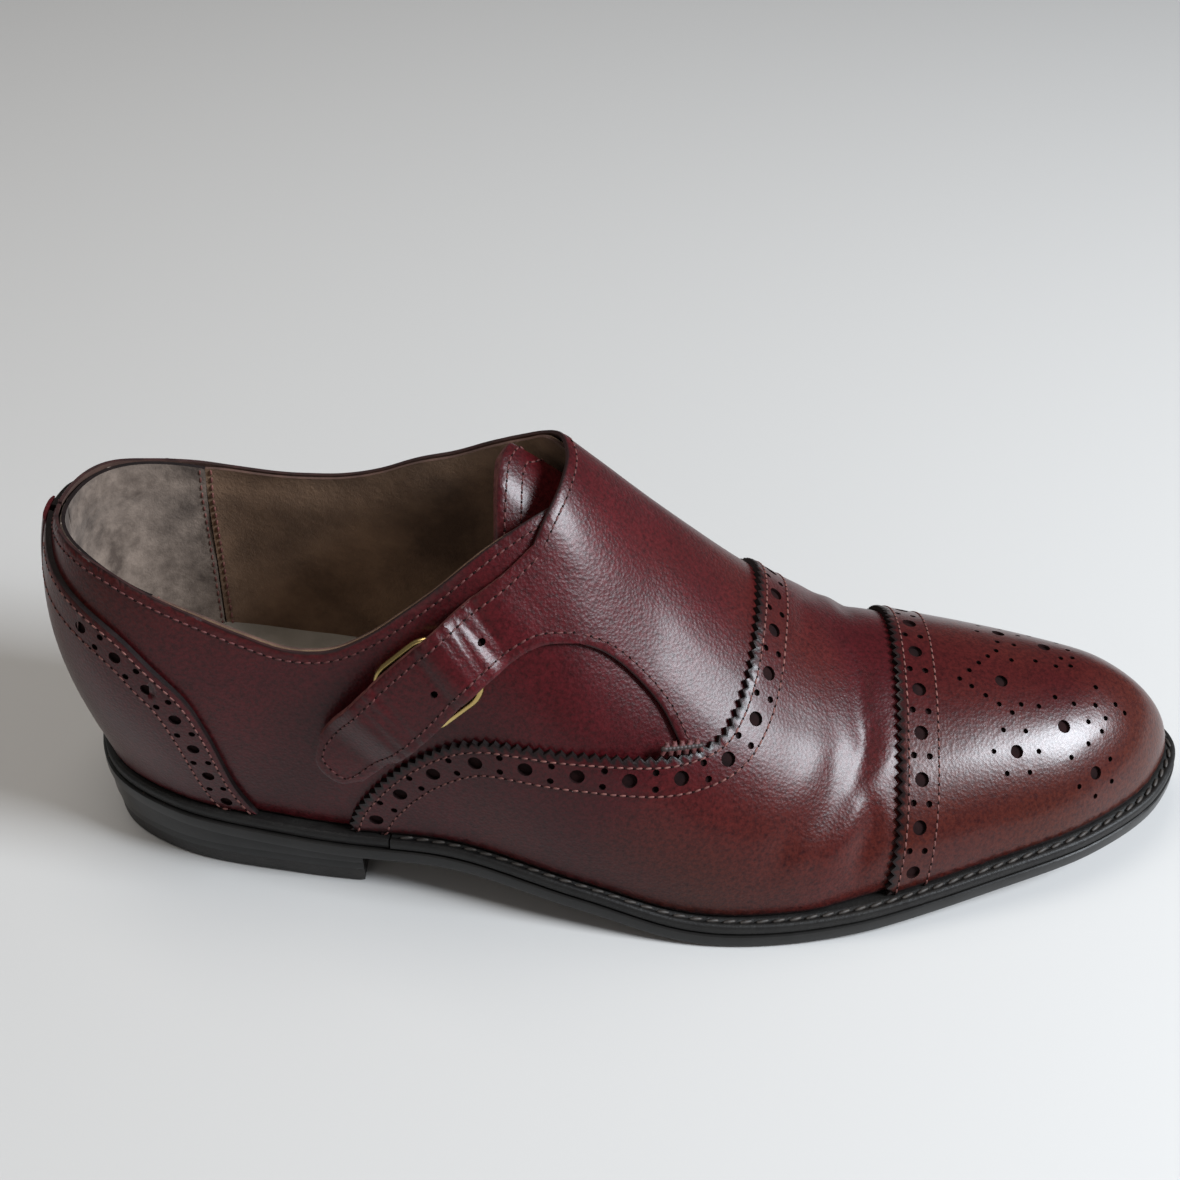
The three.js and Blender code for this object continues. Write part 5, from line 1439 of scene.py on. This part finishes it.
def plate(name, ring, low, high, materials, rounding=0.6, bottom_index=None):
    """A flat layer: an outline filled, cut across, extruded and rounded, then laid on the sole's curve."""
    deselect()
    bpy.ops.mesh.primitive_circle_add(vertices=len(ring), radius=0.1, fill_type="NGON")
    obj = bpy.context.object
    obj.name = name
    laid = np.column_stack([metres(np.column_stack([ring, np.zeros(len(ring))]))[:, :2], np.zeros(len(ring))])
    obj.data.vertices.foreach_set("co", laid.astype(np.float32).ravel())
    obj.data.update()
    thickness = 0.01
    bpy.ops.object.mode_set(mode="EDIT")
    for x in np.arange(ring[:, 0].min() + 4, ring[:, 0].max() - 3, 6.0):
        bpy.ops.mesh.select_all(action="SELECT")
        bpy.ops.mesh.bisect(plane_co=((x - SHIFT[0]) * MM, 0, 0), plane_no=(1, 0, 0))
    bpy.ops.mesh.select_all(action="SELECT")
    bpy.ops.mesh.extrude_region_move(TRANSFORM_OT_translate={"value": (0, 0, thickness)})
    bpy.ops.mesh.select_all(action="SELECT")
    bpy.ops.mesh.normals_make_consistent(inside=False)
    bpy.ops.mesh.select_all(action="DESELECT")
    bpy.ops.mesh.select_mode(type="EDGE")
    bm = bmesh.from_edit_mesh(obj.data)
    bm.normal_update()
    edges_at(bm, lambda e: len(e.link_faces) == 2 and
             abs(abs(e.link_faces[0].normal.z) - abs(e.link_faces[1].normal.z)) > 0.5)
    bmesh.update_edit_mesh(obj.data)
    bpy.ops.mesh.bevel(offset=rounding * MM, segments=3, profile=0.6)
    bpy.ops.object.mode_set(mode="OBJECT")
    count = len(obj.data.vertices)
    co = np.zeros(count * 3, np.float32)
    obj.data.vertices.foreach_get("co", co)
    co = co.reshape(-1, 3).astype(float)
    x, z = co[:, 0] / MM + SHIFT[0], co[:, 2] / MM
    foot, head = low(x), high(x)
    middle = 0.5 * thickness / MM
    co[:, 2] = np.where(z < middle, foot + z, head - (thickness / MM - z)) * MM
    obj.data.vertices.foreach_set("co", co.astype(np.float32).ravel())
    for material in materials:
        obj.data.materials.append(material)
    if bottom_index is not None:
        for face in obj.data.polygons:
            if face.normal.z < -0.5:
                face.material_index = bottom_index
    obj.data.update()
    smooth(obj, 35)
    return obj


def over_sole(rise):
    return lambda x: sole_underside(x) + rise


def flat(z):
    return lambda x: np.full(np.shape(x), float(z))


def welt_strip(name, u0, u1, section, material):
    """A welt swept round the plan: section points are (inset from the plan, height), and a negative
    inset is counted from the feather line inwards."""
    us = np.linspace(u0, u1, int(abs(u1 - u0)) + 1)
    plan, foot, n = on_ring(PLAN, us), on_ring(FEATHER, us), unit(on_ring(PLAN_NORMAL, us))
    rows = []
    for inset, z in section:
        flat_at = plan - n * inset if inset >= 0 else foot + n * inset
        rows.append(np.column_stack([flat_at, sole_underside(flat_at[:, 0]) + z]))
    rows = np.stack(rows, 1)
    count, sides = rows.shape[:2]
    faces = []
    for i in range(count - 1):
        for k in range(sides):
            j = (k + 1) % sides
            faces.append((i * sides + k, i * sides + j, (i + 1) * sides + j, (i + 1) * sides + k))
    faces.append(tuple(range(sides))[::-1])
    faces.append(tuple((count - 1) * sides + k for k in range(sides)))
    return new_piece(name, rows.reshape(-1, 3), faces, [material], angle=50)


class SHOE_OT_sole(bpy.types.Operator):
    """Outsole, stitched welt and heel rand"""

    bl_idname = "shoe.sole"
    bl_label = "Sole and welt"

    def execute(self, context):
        s, m = settings(), shades()
        outsole = plate("outsole", plan_ring(0.0), over_sole(0), over_sole(OUTSOLE), [m["sole"], m["tread"]], 0.8, 1)
        finish_piece(outsole, "shoe", "black_sole_leather", "outsole")
        base, top = OUTSOLE + 0.05, OUTSOLE + GAP + WELT
        section = [
            (0.9, base), (0.4, base + 0.6), (0.4, top - 0.7), (0.7, top - 0.2), (1.2, top), (1.7, top), (2.1, top - 0.35),
            (2.5, top - 0.35), (2.9, top), (3.6, top), (-7.9, top), (-7.9, base),
        ]
        start, end = float(ring_at(-60, 1)), float(ring_at(-60, -1))
        if end < start:
            end += RING
        welt = welt_strip("welt", start, end, section, m["welt"])
        finish_piece(welt, "shoe", "black_sole_leather", "welt")
        us = np.linspace(start + 2, end - 2, 3000)
        plan, n = on_ring(PLAN, us), unit(on_ring(PLAN_NORMAL, us))
        line = plan - n * 2.3
        length = np.r_[0, np.cumsum(np.linalg.norm(np.diff(line, axis=0), axis=1))]
        count = int(length[-1] / (s.welt_pitch / MM))
        at = (np.arange(count) + 0.5) * length[-1] / count
        spot = np.stack([np.interp(at, length, line[:, k]) for k in range(2)], -1)
        way = np.stack([np.interp(at, length, np.gradient(line[:, k])) for k in range(2)], -1)
        points = np.column_stack([spot, sole_underside(spot[:, 0]) + top - 0.05])
        slope = (sole_underside(spot[:, 0] + 1) - sole_underside(spot[:, 0] - 1)) / 2
        ways = unit(np.column_stack([way, way[:, 0] * slope]))
        side = unit(np.cross(ways, (0, 0, 1.0)))
        normals = unit(np.cross(side, ways))
        stitches = threads("welt_stitching", [([(points, ways, normals)], 1.8, 0.55, 0.18, m["welt_thread"])])
        finish_piece(stitches, "shoe", "waxed_thread")
        start, end = float(ring_at(-60.5, -1)), float(ring_at(-60.5, 1))
        if end < start:
            end += RING
        section = [
            (1.3, base), (0.8, base + 0.5), (0.8, top - 0.7), (1.2, top - 0.15), (1.8, top), (-7.9, top), (-7.9, base),
        ]
        rand = welt_strip("heel_rand", start, end, section, m["welt"])
        finish_piece(rand, "shoe", "black_sole_leather", "heel_rand")
        return {"FINISHED"}


class SHOE_OT_heel(bpy.types.Operator):
    """Stacked heel with a nailed top piece"""

    bl_idname = "shoe.heel"
    bl_label = "Heel"

    def execute(self, context):
        m = shades()
        breast = -68.0
        upper = plate("heel_lift_2", plan_ring(0.96, cut=breast), flat(7.75), over_sole(-0.15), [m["sole"]], 0.35)
        finish_piece(upper, "shoe", "black_sole_leather", "heel_lift_2")
        lower = plate("heel_lift_1", plan_ring(1.5, cut=breast), flat(4.65), flat(7.65), [m["sole"]], 0.35)
        finish_piece(lower, "shoe", "black_sole_leather", "heel_lift_1")
        top_piece = plate("heel_top_piece", plan_ring(2.0, cut=breast), flat(0), flat(4.55), [m["rubber"], m["rubber"]], 0.5, 1)
        for x, y in NAILS:
            deselect()
            bpy.ops.mesh.primitive_cylinder_add(
                vertices=24, radius=1.2 * MM, depth=0.006, location=((x - SHIFT[0]) * MM, (y - SHIFT[1]) * MM, 0.0)
            )
            drill = context.object
            apply_all(drill)
            cut = top_piece.modifiers.new("nail hole", "BOOLEAN")
            cut.operation, cut.object, cut.solver = "DIFFERENCE", drill, "EXACT"
            deselect()
            top_piece.select_set(True)
            context.view_layer.objects.active = top_piece
            bpy.ops.object.modifier_apply(modifier=cut.name)
            bpy.data.objects.remove(drill)
        smooth(top_piece, 35)
        finish_piece(top_piece, "shoe", "heel_rubber", "heel_top_piece")
        return {"FINISHED"}


NAILS = [(-79.23, -28.27), (-116.1, -20.28), (-133.51, 2.39), (-117.09, 23.34), (-80.39, 24.29)]


def cushioned_sock(material):
    """The sock: thin leather that swells into a cushion under the heel and fits against the linings."""
    us, share = np.arange(0, RING, 3), np.linspace(0, 1, 14)
    foot, n = on_ring(FEATHER, us), unit(on_ring(PLAN_NORMAL, us))
    swollen = 1 - ease(foot[:, 0], -70, -20)
    rows = []
    for rise, wide in ((10.15, 0.0), (10.6 + 8.6 * swollen, 1.0), (11.4 + 9.0 * swollen, 0.75)):
        spread = (wide * 6.5 * swollen)[:, None] if wide else 0.0
        edge = foot - n * (7.1 - spread)
        rows.append(np.column_stack([edge, sole_underside(edge[:, 0]) + rise]))
    station = ridge_station(foot[:, 0])
    core = np.column_stack([station, 0.35 * ridge_sideways(station)])
    top = []
    for w in share[1:]:
        flat_at = rows[2][:, :2] * (1 - w) + core * w
        pad = 1 - ease(flat_at[:, 0], -70, -20)
        hollow = 1.6 * pad * math.sin(0.5 * math.pi * w) ** 2
        top.append(np.column_stack([flat_at, sole_underside(flat_at[:, 0]) + 11.4 + 9.0 * pad - hollow]))
    floor = [np.column_stack([rows[0][:, :2] * (1 - w) + core * w, rows[0][:, 2] * 0]) for w in share[1:]]
    for layer in floor:
        layer[:, 2] = sole_underside(layer[:, 0]) + 10.15
    grid = np.array([*floor[::-1], *rows, *top])
    count, around = grid.shape[:2]
    faces = [
        (i * around + k, i * around + (k + 1) % around, (i + 1) * around + (k + 1) % around, (i + 1) * around + k)
        for i in range(count - 1) for k in range(around)
    ]
    return new_piece("sock", grid.reshape(-1, 3), faces, [material], angle=60)


class SHOE_OT_inside(bpy.types.Operator):
    """Sock, vamp lining and the finish of the hidden layers"""

    bl_idname = "shoe.inside"
    bl_label = "Inside"

    def execute(self, context):
        m = shades()
        sock = cushioned_sock(m["sock"])
        finish_piece(sock, "shoe", "sock_leather", "sock")
        rear = [(-6, -1), (4, -0.75), (26, -0.5), (42, 0), (26, 0.5), (4, 0.75), (-6, 1)]
        outline = closed(path(rear, 2.5), along_feather(-6, TIP_Q, 1, 2.5), along_feather(TIP_Q, -6, -1, 2.5))
        materials = [m["lining"], m["lining"], m["edge"], m["hole"]]
        lining = leather("vamp_lining", outline, constant(LINING), constant(LINING + 1), (), 4.0, materials=materials, dark=0)
        finish_piece(lining, "shoe", "suede_lining", "vamp_lining")
        finishes = {
            "insole": "board", "heel_stiffener": "board", "toe_puff": "board", "cork_filler": "cork", "shank": "steel",
            **{f"heel_nail_{k}": "steel" for k in range(1, 6)},
        }
        for node, finish in finishes.items():
            obj = bpy.data.objects[node]
            for slot in obj.material_slots:
                slot.material = m[finish]
        return {"FINISHED"}


# ------------------------------------------------------------------ stage
def lamp(name, size, energy, place, target, colour=(1, 1, 1)):
    data = bpy.data.lights.new(name, "AREA")
    data.shape, data.size, data.energy, data.color = "SQUARE", size, energy, colour
    obj = bpy.data.objects.new(name, data)
    obj.location = place
    way = Vector(target) - Vector(place)
    obj.rotation_euler = way.to_track_quat("-Z", "Y").to_euler()
    bpy.context.scene.collection.objects.link(obj)
    return obj


class SHOE_OT_stage(bpy.types.Operator):
    """Floor, soft lamps and camera"""

    bl_idname = "shoe.stage"
    bl_label = "Stage"

    def execute(self, context):
        deselect()
        bpy.ops.mesh.primitive_plane_add(size=6, location=(0, 0, -0.0003))
        floor = context.object
        floor.name = "floor"
        apply_all(floor)
        material, nodes, links = node_tree("pale floor")
        if nodes is not None:
            shader = nodes["Principled BSDF"]
            shader.inputs["Base Color"].default_value = (0.52, 0.51, 0.50, 1)
            shader.inputs["Roughness"].default_value = 0.55
        floor.data.materials.append(material)
        lamp("window_lamp", 0.40, 26, (0.90, -0.30, 0.78), (0.02, 0, 0.05), (0.86, 0.93, 1.0))
        lamp("ceiling_lamp", 0.8, 6.0, (-0.35, 0.15, 1.15), (0, 0, 0.05), (1.0, 0.95, 0.88))
        lamp("front_lamp", 0.6, 1.0, (-0.5, -1.1, 0.55), (0, 0, 0.05), (1.0, 0.96, 0.92))
        world = bpy.data.worlds.new("soft room")
        world.use_nodes = True
        world.node_tree.nodes["Background"].inputs[0].default_value = (1, 1, 1, 1)
        world.node_tree.nodes["Background"].inputs[1].default_value = 0.15
        context.scene.world = world
        context.scene.view_settings.view_transform = "Standard"
        azimuth, elevation, roll = 0.0085004, 0.682331, 0.016731
        back = np.array([
            math.sin(azimuth) * math.cos(elevation), -math.cos(azimuth) * math.cos(elevation), math.sin(elevation),
        ])
        right = unit(np.cross(-back, (0, 0, 1.0)))
        up = np.cross(back, right)
        turned = math.cos(roll) * right + math.sin(roll) * up
        high = -math.sin(roll) * right + math.cos(roll) * up
        target = np.array([-10.72, 12.07, 60.54]) - SHIFT
        camera_data = bpy.data.cameras.new("camera")
        camera_data.lens, camera_data.sensor_width, camera_data.sensor_height = 53.1, 36, 36
        camera = bpy.data.objects.new("camera", camera_data)
        matrix = Matrix(np.stack([turned, high, back], -1).tolist()).to_4x4()
        matrix.translation = Vector(((target + back * 456.6) * MM).tolist())
        camera.matrix_world = matrix
        context.scene.collection.objects.link(camera)
        context.scene.camera = camera
        return {"FINISHED"}


class SHOE_PT_panel(bpy.types.Panel):
    """Buttons for every piece of the shoe"""

    bl_idname = "SHOE_PT_panel"
    bl_label = "Monk-strap brogue"
    bl_space_type = "VIEW_3D"
    bl_region_type = "UI"
    bl_category = "Shoe"

    def draw(self, context):
        layout = self.layout
        for name in ShoeSettings.__annotations__:
            layout.prop(context.scene.shoe_settings, name)
        for operator in OPERATORS:
            layout.operator(operator.bl_idname)


OPERATORS = (
    SHOE_OT_sole, SHOE_OT_heel, SHOE_OT_inside, SHOE_OT_linings, SHOE_OT_tongue, SHOE_OT_quarters, SHOE_OT_vamp,
    SHOE_OT_toe_cap, SHOE_OT_foxing, SHOE_OT_buckle, SHOE_OT_chape, SHOE_OT_strap, SHOE_OT_stage,
)
CLASSES = (ShoeSettings, *OPERATORS, SHOE_PT_panel)


def register():
    for item in CLASSES:
        bpy.utils.register_class(item)
    bpy.types.Scene.shoe_settings = bpy.props.PointerProperty(type=ShoeSettings)


def unregister():
    del bpy.types.Scene.shoe_settings
    for item in reversed(CLASSES):
        bpy.utils.unregister_class(item)


def main():
    register()
    for operator in OPERATORS:
        group, name = operator.bl_idname.split(".")
        if getattr(getattr(bpy.ops, group), name)() != {"FINISHED"}:
            raise RuntimeError(f"{operator.bl_label} didn't finish")


if __name__ == "__main__":
    main()
